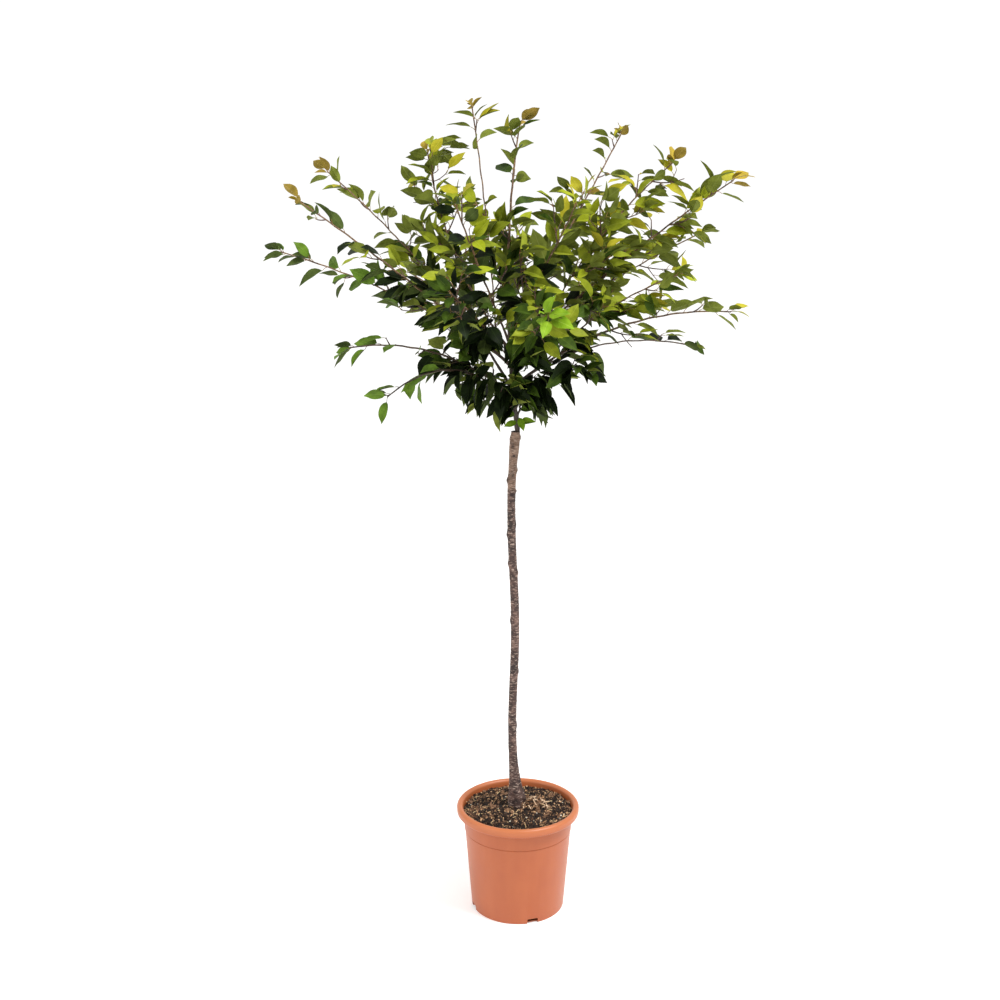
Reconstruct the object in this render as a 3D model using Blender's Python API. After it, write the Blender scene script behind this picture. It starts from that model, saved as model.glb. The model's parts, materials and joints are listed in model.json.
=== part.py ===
"""A young ornamental cherry grown as a standard: a plastic pot, a clear stem and an open, round crown.

Units are metres and +Z is up. The origin is the middle of the pot's flat underside, and -Y is the
side the tree is seen from. Every limb is one solid, and so is every leafy shoot.
"""

import math
import random
from dataclasses import dataclass, field

import bmesh
import bpy
import numpy as np
from mathutils import Matrix, Vector, noise
from mathutils.bvhtree import BVHTree

CLEARANCE = 0.0003  # between solids that bear on each other

# The pot, with a rolled rim, a shallow step under it and drain notches round the foot
POT_HEIGHT = 0.256
POT_FOOT_RADIUS = 0.110
POT_STEP_RADIUS = 0.1255
POT_STEP_HEIGHT = 0.195
POT_COLLAR_RADIUS = 0.1290
POT_WALL = 0.002
POT_FLOOR = 0.003
POT_SIDES = 40
RIM_RADIUS = 0.145
RIM_MOUTH_RADIUS = 0.130
RIM_DROP = 0.019
NOTCH_WIDTH = 0.026
NOTCH_HEIGHT = 0.0125
NOTCH_DEPTH = 0.008
NOTCH_COUNT = 4
NOTCH_FIRST_AZIMUTH = 18.0

# The compost, a little lower at the wall than round the stem
SOIL_EDGE_HEIGHT = 0.237
SOIL_MIDDLE_HEIGHT = 0.251
SOIL_SEAT_RADIUS = 0.028
SOIL_ROUGHNESS = 0.003

# The stem, from its root flare to the cut head that the crown grows from
HEAD_HEIGHT = 1.150
TRUNK_RADIUS = 0.0098
TRUNK_TAPER = 0.0008
TRUNK_SIDES = 12
TRUNK_RINGS = 24
FLARE_RADIUS = 0.0105
FLARE_SHARE = 0.07
FLARE_LOBES = 5
KNOB_RADIUS = 0.0024
KNOB_SHARE = 0.03
FOOT_X = -0.002
HEAD_X = -0.008
LONG_SWAY = 0.0084
SHORT_SWAY = 0.0056
LEADER_X = -0.0035
LEADER_BEND = Vector((-0.045, -0.06, 0.36))

# The limbs: how thick the leader is, the most a limb can take of its parent, and what its length adds
LEADER_RADIUS = 0.0054
LIMB_SHARE = 0.84
LIMB_TAPER = 0.66
TWIGGY_RADIUS = 0.0017
RADIUS_PER_LENGTH = 0.0050
LIMB_SPREAD = 0.10
BOUGH_SIDES = 6
BOUGH_RINGS = 4

# The leafy shoots
SHOOT_SEED = 7
LONG_SHOOT = 0.30
STEM_RINGS = 5
STEM_TIP_RADIUS = 0.0011
TWIG_SIDES = 3
TWIG_SPACING = 0.075
TWIG_LENGTH = 0.105
TWIG_RADIUS = 0.0016
TWIG_TIP_RADIUS = 0.0009
TWIG_ANGLE = 48.0
TWIG_LIFT = 0.15
GOLDEN_ANGLE = 137.5
LEAF_SPACING = 0.039
LEAF_LENGTH = 0.078
LEAF_WIDTH = 0.041
LEAF_THICKNESS = 0.0016
LEAF_BOW = 0.05
LEAF_WIDEST = 0.42
LEAF_RIB_AT = 0.36
LEAF_ANGLE = 52.0
LEAF_TRIES = 7
SPACE_MARGIN = 0.0015
LIMB_MARGIN = 0.0025

LEAF_GREEN = (0.13, 0.20, 0.03)
BARK_BROWN = (0.15, 0.11, 0.09)
TERRACOTTA = (0.62, 0.19, 0.08)
COMPOST_BROWN = (0.05, 0.03, 0.02)


@dataclass
class Shoot:
    """One limb of the crown and the leafy growth on it.

    The limb leaves its parent at a share of the parent's bough. Its tip is given by azimuth in
    degrees (0 is the seen side, 90 the right), reach from the axis and rise above the head. The
    arch is how far the curve stands above its chord, as a share of the chord. The first part of
    the curve, up to the bough share, is bare wood, and the rest is the stem of the leafy shoot.
    Side twigs are as long as the vigour says: a slender shoot has short ones.
    """

    name: str
    parent: str
    start: float
    azimuth: float
    reach: float
    rise: float
    arch: float = 0.25
    bough: float = 0.32
    vigour: float = 1.0
    curve: list = field(default_factory=list)
    radii: tuple = (LEADER_RADIUS, LEADER_RADIUS * LIMB_TAPER)


SHOOTS = [
    Shoot("leader", "", 0.0, 180, 0.030, 0.665, 0.0, 0.38, 0.55),
    # left side
    Shoot("left_crest", "leader", 0.69, -104, 0.205, 0.605, -0.06, 0.16, 1.3),
    Shoot("left_top", "left_crest", 0.70, -64, 0.112, 0.695, -0.06, 0.12, 0.45),
    Shoot("left_arm", "leader", 0.56, -73, 0.475, 0.505, 0.10, 0.20, 0.50),
    Shoot("left_mid", "left_arm", 0.50, -90, 0.515, 0.395, 0.14, 0.13, 0.50),
    Shoot("left_high", "left_arm", 0.76, -105, 0.440, 0.565, 0.04, 0.12, 0.45),
    Shoot("left_low", "leader", 0.30, -68, 0.385, 0.205, 0.26, 0.13, 0.40),
    Shoot("left_hanging", "leader", 0.24, -46, 0.375, 0.120, 0.38, 0.13, 0.45),
    # right side
    Shoot("right_arm", "leader", 0.38, 78, 0.455, 0.275, 0.22, 0.20, 0.70),
    Shoot("right_low", "right_arm", 0.50, 97, 0.395, 0.185, 0.26, 0.13, 0.30),
    Shoot("right_front", "right_arm", 0.74, 61, 0.370, 0.360, 0.12, 0.12, 0.90),
    Shoot("right_crest", "leader", 0.63, 90, 0.455, 0.545, 0.10, 0.20, 0.70),
    Shoot("right_back", "right_crest", 0.50, 103, 0.410, 0.430, 0.12, 0.13, 1.0),
    Shoot("right_high", "right_crest", 0.74, 75, 0.325, 0.580, 0.04, 0.13, 1.1),
    Shoot("right_top", "leader", 0.86, 120, 0.260, 0.645, 0.06, 0.12, 0.45),
    # towards the seen side
    Shoot("front_arm", "leader", 0.44, 8, 0.375, 0.290, 0.24, 0.16, 1.0),
    Shoot("front_right", "leader", 0.19, 50, 0.185, 0.150, 0.40, 0.13, 0.90),
    Shoot("front_left", "front_arm", 0.70, -24, 0.340, 0.330, 0.14, 0.13, 0.90),
    Shoot("front_high", "leader", 0.75, -29, 0.270, 0.500, 0.06, 0.14, 1.0),
    Shoot("front_crest", "leader", 0.93, 42, 0.170, 0.500, 0.02, 0.12, 1.3),
    # away from it
    Shoot("back_arm", "leader", 0.50, 180, 0.430, 0.430, 0.16, 0.20, 0.90),
    Shoot("back_right", "back_arm", 0.55, 146, 0.400, 0.270, 0.20, 0.14, 0.90),
    Shoot("back_high", "leader", 0.81, 152, 0.330, 0.520, 0.06, 0.14, 0.90),
    Shoot("back_left", "leader", 0.34, -142, 0.430, 0.330, 0.18, 0.20, 1.0),
    # the short growth round the head
    Shoot("low_front", "leader", 0.09, -12, 0.115, 0.135, 0.26, 0.15, 1.2),
    Shoot("low_right", "leader", 0.13, 100, 0.105, 0.115, 0.26, 0.15, 1.2),
    Shoot("low_back", "leader", 0.06, 168, 0.115, 0.095, 0.26, 0.15, 1.2),
    Shoot("low_left", "leader", 0.16, -104, 0.110, 0.120, 0.26, 0.15, 1.2),
]


def clear_scene():
    for old in list(bpy.data.objects):
        bpy.data.objects.remove(old)


def plain_material(name, colour, roughness):
    made = bpy.data.materials.new(name)
    made.use_nodes = True
    shader = made.node_tree.nodes["Principled BSDF"]
    shader.inputs["Base Color"].default_value = (*colour, 1.0)
    shader.inputs["Roughness"].default_value = roughness
    shader.inputs["Metallic"].default_value = 0.0
    return made


def add_object(name, bm, material, collection=None):
    """Turns a bmesh into an object, smooth apart from edges sharper than 35 degrees."""
    bmesh.ops.recalc_face_normals(bm, faces=bm.faces)
    mesh = bpy.data.meshes.new(name)
    bm.to_mesh(mesh)
    bm.free()
    mesh.shade_smooth()
    mesh.set_sharp_from_angle(angle=math.radians(35))
    mesh.materials.append(material)
    made = bpy.data.objects.new(name, mesh)
    (collection or bpy.context.scene.collection).objects.link(made)
    return made


def around(azimuth):
    """The level unit vector at an azimuth, 0 towards -Y and 90 towards +X."""
    turn = math.radians(azimuth)
    return Vector((math.sin(turn), -math.cos(turn), 0.0))


def ring_sides(tangents):
    """Two vectors across each tangent of a path, turned as little as possible from one to the next."""
    side = tangents[0].orthogonal().normalized()
    found = []
    for tangent in tangents:
        side = (side - tangent * side.dot(tangent)).normalized()
        found.append((side, tangent.cross(side)))
    return found


def swept(points, tangents, radii, sides):
    """A closed tapering tube along a path, as a bmesh."""
    bm = bmesh.new()
    rings = []
    for point, radius, (side, up) in zip(points, radii, ring_sides(tangents)):
        ring = []
        for k in range(sides):
            turn = 2 * math.pi * k / sides
            ring.append(bm.verts.new(point + (side * math.cos(turn) + up * math.sin(turn)) * radius))
        rings.append(ring)
    for low, high in zip(rings, rings[1:]):
        for k in range(sides):
            following = (k + 1) % sides
            bm.faces.new((low[k], low[following], high[following], high[k]))
    bm.faces.new(reversed(rings[0]))
    bm.faces.new(rings[-1])
    return bm


def turned(profile, sides):
    """A closed solid turned about Z from (radius, height) pairs that start and end on the axis."""
    bm = bmesh.new()
    rings = []
    for radius, height in profile:
        if radius == 0.0:
            rings.append([bm.verts.new((0.0, 0.0, height))])
            continue
        ring = []
        for k in range(sides):
            turn = 2 * math.pi * k / sides
            ring.append(bm.verts.new((radius * math.cos(turn), radius * math.sin(turn), height)))
        rings.append(ring)
    for low, high in zip(rings, rings[1:]):
        for k in range(sides):
            following = (k + 1) % sides
            corners = [low[k % len(low)], low[following % len(low)]]
            corners += [high[following % len(high)], high[k % len(high)]]
            bm.faces.new(list(dict.fromkeys(corners)))
    return bm


def pot_outside(height):
    """The radius of the pot's outer wall at a height, below the rim."""
    if height <= POT_STEP_HEIGHT:
        return POT_FOOT_RADIUS + (POT_STEP_RADIUS - POT_FOOT_RADIUS) * height / POT_STEP_HEIGHT
    return POT_COLLAR_RADIUS - 0.0012


def pot_inside(height):
    return pot_outside(min(height, POT_STEP_HEIGHT)) - POT_WALL


def build_pot(material):
    rim_foot = POT_HEIGHT - RIM_DROP
    crest = POT_HEIGHT - 0.004
    outside = [
        (0.0, 0.0),
        (POT_FOOT_RADIUS - 0.002, 0.0),
        (POT_FOOT_RADIUS, 0.002),
        (POT_STEP_RADIUS, POT_STEP_HEIGHT),
        (pot_outside(POT_HEIGHT), POT_STEP_HEIGHT + 0.0015),
        (POT_COLLAR_RADIUS, rim_foot + 0.004),
        (RIM_RADIUS - POT_WALL, rim_foot),
        (RIM_RADIUS, rim_foot + 0.001),
        (RIM_RADIUS, crest - 0.003),
        (RIM_RADIUS - 0.004, POT_HEIGHT - 0.001),
        (RIM_MOUTH_RADIUS + 0.006, POT_HEIGHT),
        (RIM_MOUTH_RADIUS, crest),
    ]
    inside = [
        (RIM_MOUTH_RADIUS - POT_WALL, rim_foot),
        (pot_inside(POT_STEP_HEIGHT), POT_STEP_HEIGHT),
        (pot_inside(POT_FLOOR), POT_FLOOR),
        (0.0, POT_FLOOR),
    ]
    pot = add_object("pot", turned(outside + inside, POT_SIDES), material)
    for k in range(NOTCH_COUNT):
        azimuth = NOTCH_FIRST_AZIMUTH + 360.0 * k / NOTCH_COUNT
        cut_notch(pot, k, azimuth)
    return pot


def cut_notch(pot, number, azimuth):
    """A drain notch through the wall at the foot."""
    bm = bmesh.new()
    bmesh.ops.create_cube(bm, size=1.0)
    bmesh.ops.scale(bm, vec=(NOTCH_WIDTH, 2 * NOTCH_DEPTH, 2 * NOTCH_HEIGHT), verts=bm.verts)
    cutter = add_object(f"notch_cutter_{number}", bm, pot.data.materials[0])
    cutter.hide_render = True
    cutter.display_type = "WIRE"
    cutter.location = around(azimuth) * POT_FOOT_RADIUS
    cutter.rotation_euler = (0.0, 0.0, math.radians(azimuth))
    notch = pot.modifiers.new(f"notch_{number}", "BOOLEAN")
    notch.operation = "DIFFERENCE"
    notch.solver = "EXACT"
    notch.object = cutter


def build_soil(material):
    """The compost fills the pot. Its top is rough, and flat only where the stem stands."""
    gap = CLEARANCE
    profile = [
        (0.0, POT_FLOOR + gap),
        (pot_inside(POT_FLOOR) - gap, POT_FLOOR + gap),
        (pot_inside(POT_STEP_HEIGHT) - gap, POT_STEP_HEIGHT),
        (pot_inside(POT_STEP_HEIGHT), SOIL_EDGE_HEIGHT),
    ]
    shoulder = len(profile)
    edge_radius = profile[-1][0]
    for share in (0.25, 0.5, 0.75, 1.0):
        radius = edge_radius + (SOIL_SEAT_RADIUS - edge_radius) * share
        lift = math.sin(share * math.pi / 2)
        profile.append((radius, SOIL_EDGE_HEIGHT + (SOIL_MIDDLE_HEIGHT - SOIL_EDGE_HEIGHT) * lift))
    profile.append((0.0, SOIL_MIDDLE_HEIGHT))
    bm = turned(profile, POT_SIDES)
    rough_rings = range(shoulder, len(profile) - 2)
    first = 1 + (shoulder - 1) * POT_SIDES
    bm.verts.ensure_lookup_table()
    for index in range(first, first + len(rough_rings) * POT_SIDES):
        vert = bm.verts[index]
        vert.co.z += SOIL_ROUGHNESS * noise.noise(vert.co * 60.0)
    return add_object("soil", bm, material)


def trunk_centre(share):
    """The stem's centre line, with a long and a short sway between foot and head."""
    foot = SOIL_MIDDLE_HEIGHT + CLEARANCE
    sway = LONG_SWAY * math.sin(math.pi * share) + SHORT_SWAY * math.sin(3 * math.pi * share)
    x = FOOT_X + (HEAD_X - FOOT_X) * share - sway
    y = 0.5 * SHORT_SWAY * math.sin(2 * math.pi * share)
    return Vector((x, y, foot + (HEAD_HEIGHT - foot) * share))


def trunk_radius(share, turn):
    """The stem's radius at a share of its height, lobed at the root flare and swollen at the head."""
    flare = math.exp(-((share / FLARE_SHARE) ** 1.5))
    lobes = 1.0 + 0.16 * flare * math.cos(FLARE_LOBES * turn + 0.6)
    knob = math.exp(-(((share - 0.965) / KNOB_SHARE) ** 2))
    return (TRUNK_RADIUS - TRUNK_TAPER * share + FLARE_RADIUS * flare) * lobes + KNOB_RADIUS * knob


def build_trunk(material):
    bm = bmesh.new()
    rings = []
    for i in range(TRUNK_RINGS + 1):
        share = (i / TRUNK_RINGS) ** 1.25
        centre = trunk_centre(share)
        ring = []
        for k in range(TRUNK_SIDES):
            turn = 2 * math.pi * k / TRUNK_SIDES
            out = Vector((math.cos(turn), math.sin(turn), 0.0))
            ring.append(bm.verts.new(centre + out * trunk_radius(share, turn)))
        rings.append(ring)
    for low, high in zip(rings, rings[1:]):
        for k in range(TRUNK_SIDES):
            following = (k + 1) % TRUNK_SIDES
            bm.faces.new((low[k], low[following], high[following], high[k]))
    bm.faces.new(reversed(rings[0]))
    bm.faces.new(rings[-1])
    return add_object("trunk", bm, material)


def bent(curve, share):
    """A point of the quadratic curve through the first and last of three points."""
    start, control, end = curve
    rest = 1.0 - share
    return start * rest * rest + control * 2 * share * rest + end * share * share


def pace(curve, share):
    """How fast, and in which direction, the curve runs at a share of it."""
    start, control, end = curve
    return ((control - start) * (1.0 - share) + (end - control) * share) * 2


def lay_out_shoots():
    """Gives every shoot its curve: its start on its parent, its control point and its tip."""
    by_name = {}
    for shoot in SHOOTS:
        tip = around(shoot.azimuth) * shoot.reach
        tip.z = HEAD_HEIGHT + shoot.rise
        if shoot.parent:
            parent = by_name[shoot.parent]
            start = bent(parent.curve, shoot.start * parent.bough)
            chord = tip - start
            level = Vector((chord.x, chord.y, 0.0))
            upright = (Vector((0, 0, 1)) * level.length - level.normalized() * chord.z).normalized()
            grain = pace(parent.curve, shoot.start * parent.bough).normalized()
            aside = (chord - grain * chord.dot(grain)).normalized()
            control = start + chord * 0.45 + (upright * shoot.arch + aside * LIMB_SPREAD) * chord.length
            thick, thin = parent.radii
            widest = LIMB_SHARE * (thick + (thin - thick) * shoot.start)
            base = min(widest, TWIGGY_RADIUS + RADIUS_PER_LENGTH * chord.length)
            shoot.radii = (base, base * LIMB_TAPER)
        else:
            start = Vector((LEADER_X, 0.0, HEAD_HEIGHT + CLEARANCE))
            control = start + LEADER_BEND
        shoot.curve = [start, control, tip]
        by_name[shoot.name] = shoot


def bough_shares(shoot):
    return [shoot.bough * i / BOUGH_RINGS for i in range(BOUGH_RINGS + 1)]


def bough_points(shoot):
    return [bent(shoot.curve, share) for share in bough_shares(shoot)]


def bough_shape(shoot, wider):
    """The tube of one bough. The one that stands on the stem's flat head has a level foot."""
    tangents = [pace(shoot.curve, share).normalized() for share in bough_shares(shoot)]
    if not shoot.parent:
        tangents[0] = Vector((0, 0, 1))
    base, tip = shoot.radii
    radii = [base + (tip - base) * i / BOUGH_RINGS + wider for i in range(BOUGH_RINGS + 1)]
    return swept(bough_points(shoot), tangents, radii, BOUGH_SIDES)


def build_bough(shoot, material):
    """One tapering limb. Where it grows out of another, its foot is cut to fit round it."""
    bough = add_object(f"bough_{shoot.name}", bough_shape(shoot, 0.0), material)
    if not shoot.parent:
        return
    parent = next(other for other in SHOOTS if other.name == shoot.parent)
    wider = CLEARANCE / math.cos(math.pi / BOUGH_SIDES)
    cutter = add_object(f"seat_cutter_{shoot.name}", bough_shape(parent, wider), material)
    cutter.hide_render = True
    cutter.display_type = "WIRE"
    seat = bough.modifiers.new("seat", "BOOLEAN")
    seat.operation = "DIFFERENCE"
    seat.solver = "EXACT"
    seat.object = cutter


def stem_shares(shoot):
    """Shares of the curve along a shoot's stem, from just past its bough's tip to its own."""
    first = shoot.bough + CLEARANCE / pace(shoot.curve, shoot.bough).length
    return [first + (1.0 - first) * i / STEM_RINGS for i in range(STEM_RINGS + 1)]


def stem_points(shoot):
    return [bent(shoot.curve, share) for share in stem_shares(shoot)]


def stem_shape(shoot, wider):
    """The tube of a shoot's stem, as thick at its foot as the tip of the bough it grows on from."""
    tangents = [pace(shoot.curve, share).normalized() for share in stem_shares(shoot)]
    foot = shoot.radii[1] * 0.95
    radii = [foot + (STEM_TIP_RADIUS - foot) * i / STEM_RINGS + wider for i in range(STEM_RINGS + 1)]
    return swept(stem_points(shoot), tangents, radii, TWIG_SIDES)


def twig_shape(twig):
    ahead = (twig[1] - twig[0]).normalized()
    return swept(twig, [ahead, ahead], [TWIG_RADIUS, TWIG_TIP_RADIUS], TWIG_SIDES)


def segments_of(paths):
    """The ends of every straight piece of the paths, as two arrays, and which path each is of."""
    first, last, owner = [], [], []
    for index, path in enumerate(paths):
        for a, b in zip(path, path[1:]):
            first.append(a[:])
            last.append(b[:])
            owner.append(index)
    return np.array(first), np.array(last), np.array(owner)


def distances(point, first, last):
    """How far a point is from each straight piece."""
    along = last - first
    share = ((np.array(point) - first) * along).sum(1) / (along * along).sum(1)
    nearest = first + along * np.clip(share, 0.0, 1.0)[:, None]
    return np.linalg.norm(np.array(point) - nearest, axis=1)


def shell(bm):
    """The corners and faces of a bmesh as plain lists. The bmesh is freed."""
    bm.verts.index_update()
    corners = [vert.co[:] for vert in bm.verts]
    faces = [[vert.index for vert in face.verts] for face in bm.faces]
    bm.free()
    return corners, faces


def tree_of(shells):
    """One search tree over the faces of several shells."""
    corners, faces = [], []
    for some_corners, some_faces in shells:
        faces += [[i + len(corners) for i in face] for face in some_faces]
        corners += some_corners
    return BVHTree.FromPolygons(corners, faces)


class Space:
    """Which shoot each place in the crown belongs to, and what is taken up already."""

    def __init__(self):
        self.stems = segments_of([stem_points(shoot) for shoot in SHOOTS])
        self.limbs = segments_of([bough_points(shoot) for shoot in SHOOTS])
        self.limb_radii = np.array([SHOOTS[i].radii[0] for i in self.limbs[2]])
        room = TRUNK_RADIUS + KNOB_RADIUS + LIMB_MARGIN
        spine = [trunk_centre(i / 12) for i in range(13)]
        trunk = swept(spine, [Vector((0, 0, 1))] * 13, [room] * 13, TRUNK_SIDES)
        self.wood = [shell(trunk)] + [shell(bough_shape(shoot, LIMB_MARGIN)) for shoot in SHOOTS]
        self.grown = []
        self.barrier = None

    def enter(self, index):
        """Gathers what this shoot may not touch: limbs, other stems and all that has grown so far."""
        others = [shoot for i, shoot in enumerate(SHOOTS) if i != index]
        stems = [shell(stem_shape(shoot, SPACE_MARGIN)) for shoot in others]
        self.barrier = tree_of(self.wood + stems + self.grown)

    def holds(self, index, point):
        """True if the point is this shoot's own, and clear of every limb."""
        first, last, owner = self.stems
        found = distances(point, first, last)
        own = found[owner == index].min()
        if own + SPACE_MARGIN > found[owner != index].min():
            return False
        return not (distances(point, *self.limbs[:2]) < self.limb_radii + LIMB_MARGIN).any()

    def clear(self, piece):
        """True if a piece, given as a shell, touches nothing of the barrier."""
        return not self.barrier.overlap(tree_of([piece]))


def leaf_corners(root, ahead, normal, length, width):
    """The five corners of a leaf: root, tip, two margins and the rib that stands out underneath."""
    across = ahead.cross(normal).normalized()
    face = across.cross(ahead).normalized()
    belly = root + ahead * length * LEAF_WIDEST + face * length * LEAF_BOW
    return [
        root,
        root + ahead * length,
        belly + across * width / 2,
        belly - across * width / 2,
        root + ahead * length * LEAF_RIB_AT + face * (length * LEAF_BOW - LEAF_THICKNESS),
    ]


LEAF_FACES = [(0, 3, 2), (1, 2, 3), (0, 2, 4), (0, 4, 3), (1, 4, 2), (1, 3, 4)]


def leaf_shape(corners):
    bm = bmesh.new()
    verts = [bm.verts.new(corner) for corner in corners]
    for face in LEAF_FACES:
        bm.faces.new([verts[i] for i in face])
    return bm


def leaf_probes(corners):
    """Places on the leaf that have to lie in the shoot's own space. The root is left out."""
    root, tip, left, right, _ = corners
    probes = [tip, left, right]
    for a, b in [(root, left), (root, right), (left, tip), (right, tip), (root, tip)]:
        probes += [a.lerp(b, 0.5), a.lerp(b, 0.8)]
    return probes


def droop_at(height):
    """How strongly a leaf hangs: low in the crown they hang, high up they stand out."""
    share = (height - HEAD_HEIGHT) / 0.42
    return 0.95 + (0.12 - 0.95) * min(1.0, max(0.0, share))


def leaf_pose(place, along, turn, dice):
    """Which way a leaf points and which way its upper face looks."""
    side = along.orthogonal().normalized()
    out = Matrix.Rotation(turn, 3, along) @ side
    spread = math.radians(LEAF_ANGLE + dice.uniform(-12, 12))
    ahead = along * math.cos(spread) + out * math.sin(spread)
    ahead = (ahead + Vector((0, 0, -1)) * droop_at(place.z) * dice.uniform(0.6, 1.3)).normalized()
    outward = Vector((place.x, place.y, 0.0)).normalized()
    light = outward * 0.7 + Vector((dice.uniform(-0.5, 0.5), dice.uniform(-0.5, 0.5), 0.8))
    normal = light - ahead * light.dot(ahead)
    if normal.length < 0.2:
        normal = out - ahead * out.dot(ahead)
    return ahead, normal.normalized()


def path_at(points, distance):
    """The place and direction at a distance along a path."""
    for a, b in zip(points, points[1:]):
        step = (b - a).length
        if distance <= step:
            return a.lerp(b, distance / step), (b - a).normalized()
        distance -= step
    return points[-1], (points[-1] - points[-2]).normalized()


def path_length(points):
    return sum((b - a).length for a, b in zip(points, points[1:]))


def crowding(length):
    """Short shoots carry their twigs and leaves closer together than long ones."""
    return min(1.0, max(0.5, length / LONG_SHOOT))


def side_twigs(index, shoot, stem, space, dice):
    """The twigs along a stem: a turn of the golden angle apart, and shorter towards the tip."""
    length = path_length(stem)
    spacing = TWIG_SPACING * crowding(length)
    twigs = []
    distance = 0.35 * spacing
    turn = dice.uniform(0, 2 * math.pi)
    while distance < length - 0.4 * spacing:
        place, along = path_at(stem, distance)
        out = Matrix.Rotation(turn, 3, along) @ along.orthogonal().normalized()
        angle = math.radians(TWIG_ANGLE + dice.uniform(-8, 8))
        ahead = (along * math.cos(angle) + out * math.sin(angle)).normalized()
        reach = shoot.vigour * TWIG_LENGTH * (1.0 - 0.55 * distance / length) * dice.uniform(0.75, 1.2)
        tip = place + (ahead + Vector((0, 0, TWIG_LIFT))).normalized() * reach
        inside = all(space.holds(index, place.lerp(tip, share)) for share in (0.4, 0.7, 1.0))
        if inside and space.clear(shell(twig_shape([place, tip]))):
            twigs.append([place, tip])
        turn += math.radians(GOLDEN_ANGLE)
        distance += spacing * dice.uniform(0.85, 1.15)
    return twigs


def leaf_places(path, first, spacing, dice):
    """Where leaves sit on a path, each with its direction, its turn and its size."""
    length = path_length(path)
    turn = dice.uniform(0, 2 * math.pi)
    distance = first * spacing
    while distance < length - 0.3 * spacing:
        place, along = path_at(path, distance)
        young = min(1.0, (length - distance) / 0.12)
        yield place, along, turn, (0.72 + 0.28 * young) * dice.uniform(0.85, 1.15)
        turn += math.radians(GOLDEN_ANGLE)
        distance += spacing * dice.uniform(0.85, 1.15)
    place, along = path_at(path, length)
    for k in range(2):
        yield place - along * 0.002, along, turn + math.pi * k, 0.72 * dice.uniform(0.9, 1.1)


def grow(index, shoot, space):
    """The twigs and leaves of one shoot. What would leave its space is left out."""
    dice = random.Random(SHOOT_SEED * 1000 + index)
    space.enter(index)
    stem = stem_points(shoot)
    twigs = side_twigs(index, shoot, stem, space, dice)
    leaves, shells = [], []
    spacing = LEAF_SPACING * crowding(path_length(stem))
    for path, first in [(stem, 0.25)] + [(twig, 0.9) for twig in twigs]:
        for place, along, turn, size in leaf_places(path, first, spacing, dice):
            for attempt in range(LEAF_TRIES):
                ahead, normal = leaf_pose(place, along, turn + attempt * 1.3, dice)
                corners = leaf_corners(place, ahead, normal, LEAF_LENGTH * size, LEAF_WIDTH * size)
                leaf = shell(leaf_shape(corners))
                if not all(space.holds(index, probe) for probe in leaf_probes(corners)):
                    continue
                if not space.clear(leaf) or (shells and tree_of(shells).overlap(tree_of([leaf]))):
                    continue
                leaves.append(corners)
                shells.append(leaf)
                break
    space.grown += shells + [shell(twig_shape(twig)) for twig in twigs]
    return twigs, leaves


def largest_piece(bm):
    """Drops loose scraps and sealed hollows, which are the smaller pieces of a fused mesh."""
    left = set(bm.verts)
    pieces = []
    while left:
        todo = [left.pop()]
        piece = set(todo)
        while todo:
            for edge in todo.pop().link_edges:
                for vert in edge.verts:
                    if vert not in piece:
                        piece.add(vert)
                        left.discard(vert)
                        todo.append(vert)
        pieces.append(piece)
    keep = max(pieces, key=len)
    bmesh.ops.delete(bm, geom=[v for v in bm.verts if v not in keep], context="VERTS")


def build_foliage(index, shoot, space, material):
    """One leafy shoot: its stem, twigs and leaves joined into a single solid."""
    twigs, leaves = grow(index, shoot, space)
    foliage = add_object(f"foliage_{shoot.name}", stem_shape(shoot, 0.0), material)
    parts = bpy.data.collections.new(f"parts_of_{shoot.name}")
    bpy.context.scene.collection.children.link(parts)
    for number, twig in enumerate(twigs):
        add_object(f"twig_{shoot.name}_{number}", twig_shape(twig), material, parts)
    for number, corners in enumerate(leaves):
        add_object(f"leaf_{shoot.name}_{number}", leaf_shape(corners), material, parts)
    union = foliage.modifiers.new("union", "BOOLEAN")
    union.operation = "UNION"
    union.solver = "MANIFOLD"
    union.operand_type = "COLLECTION"
    union.collection = parts
    fused = foliage.evaluated_get(bpy.context.evaluated_depsgraph_get())
    bm = bmesh.new()
    bm.from_mesh(fused.to_mesh())
    foliage.modifiers.remove(union)
    largest_piece(bm)
    bmesh.ops.triangulate(bm, faces=bm.faces)
    bm.to_mesh(foliage.data)
    bm.free()
    for piece in list(parts.objects):
        bpy.data.objects.remove(piece)
    bpy.data.collections.remove(parts)
    return foliage, len(leaves)


def main():
    clear_scene()
    lay_out_shoots()
    plastic = plain_material("terracotta_plastic", TERRACOTTA, 0.55)
    compost = plain_material("compost", COMPOST_BROWN, 0.95)
    bark = plain_material("cherry_bark", BARK_BROWN, 0.80)
    leafy = plain_material("cherry_leaf", LEAF_GREEN, 0.50)
    build_pot(plastic)
    build_soil(compost)
    build_trunk(bark)
    for shoot in SHOOTS:
        build_bough(shoot, bark)
    space = Space()
    total = 0
    for index, shoot in enumerate(SHOOTS):
        foliage, count = build_foliage(index, shoot, space, leafy)
        total += count
        print(f"{foliage.name}: {count} leaves, {len(foliage.data.polygons)} faces")
    print(f"{total} leaves in all")


main()
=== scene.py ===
# %% [markdown]
# A young ornamental cherry, grown as a standard and sold in its pot: the looks.
#
# The solids of the tree are loaded first, as a fixed frame. They say where the pot stands, where the
# clear stem ends and how far each leafy shoot reaches. Every cell after that makes one piece of the
# real thing in their place: pot, compost, stem, limbs, twigs, leaf stalks and leaves.

# %% Load the frame
import json
import math
import random
from dataclasses import dataclass, field

import bmesh
import bpy
import numpy as np
from mathutils import Matrix, Vector, noise

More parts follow.
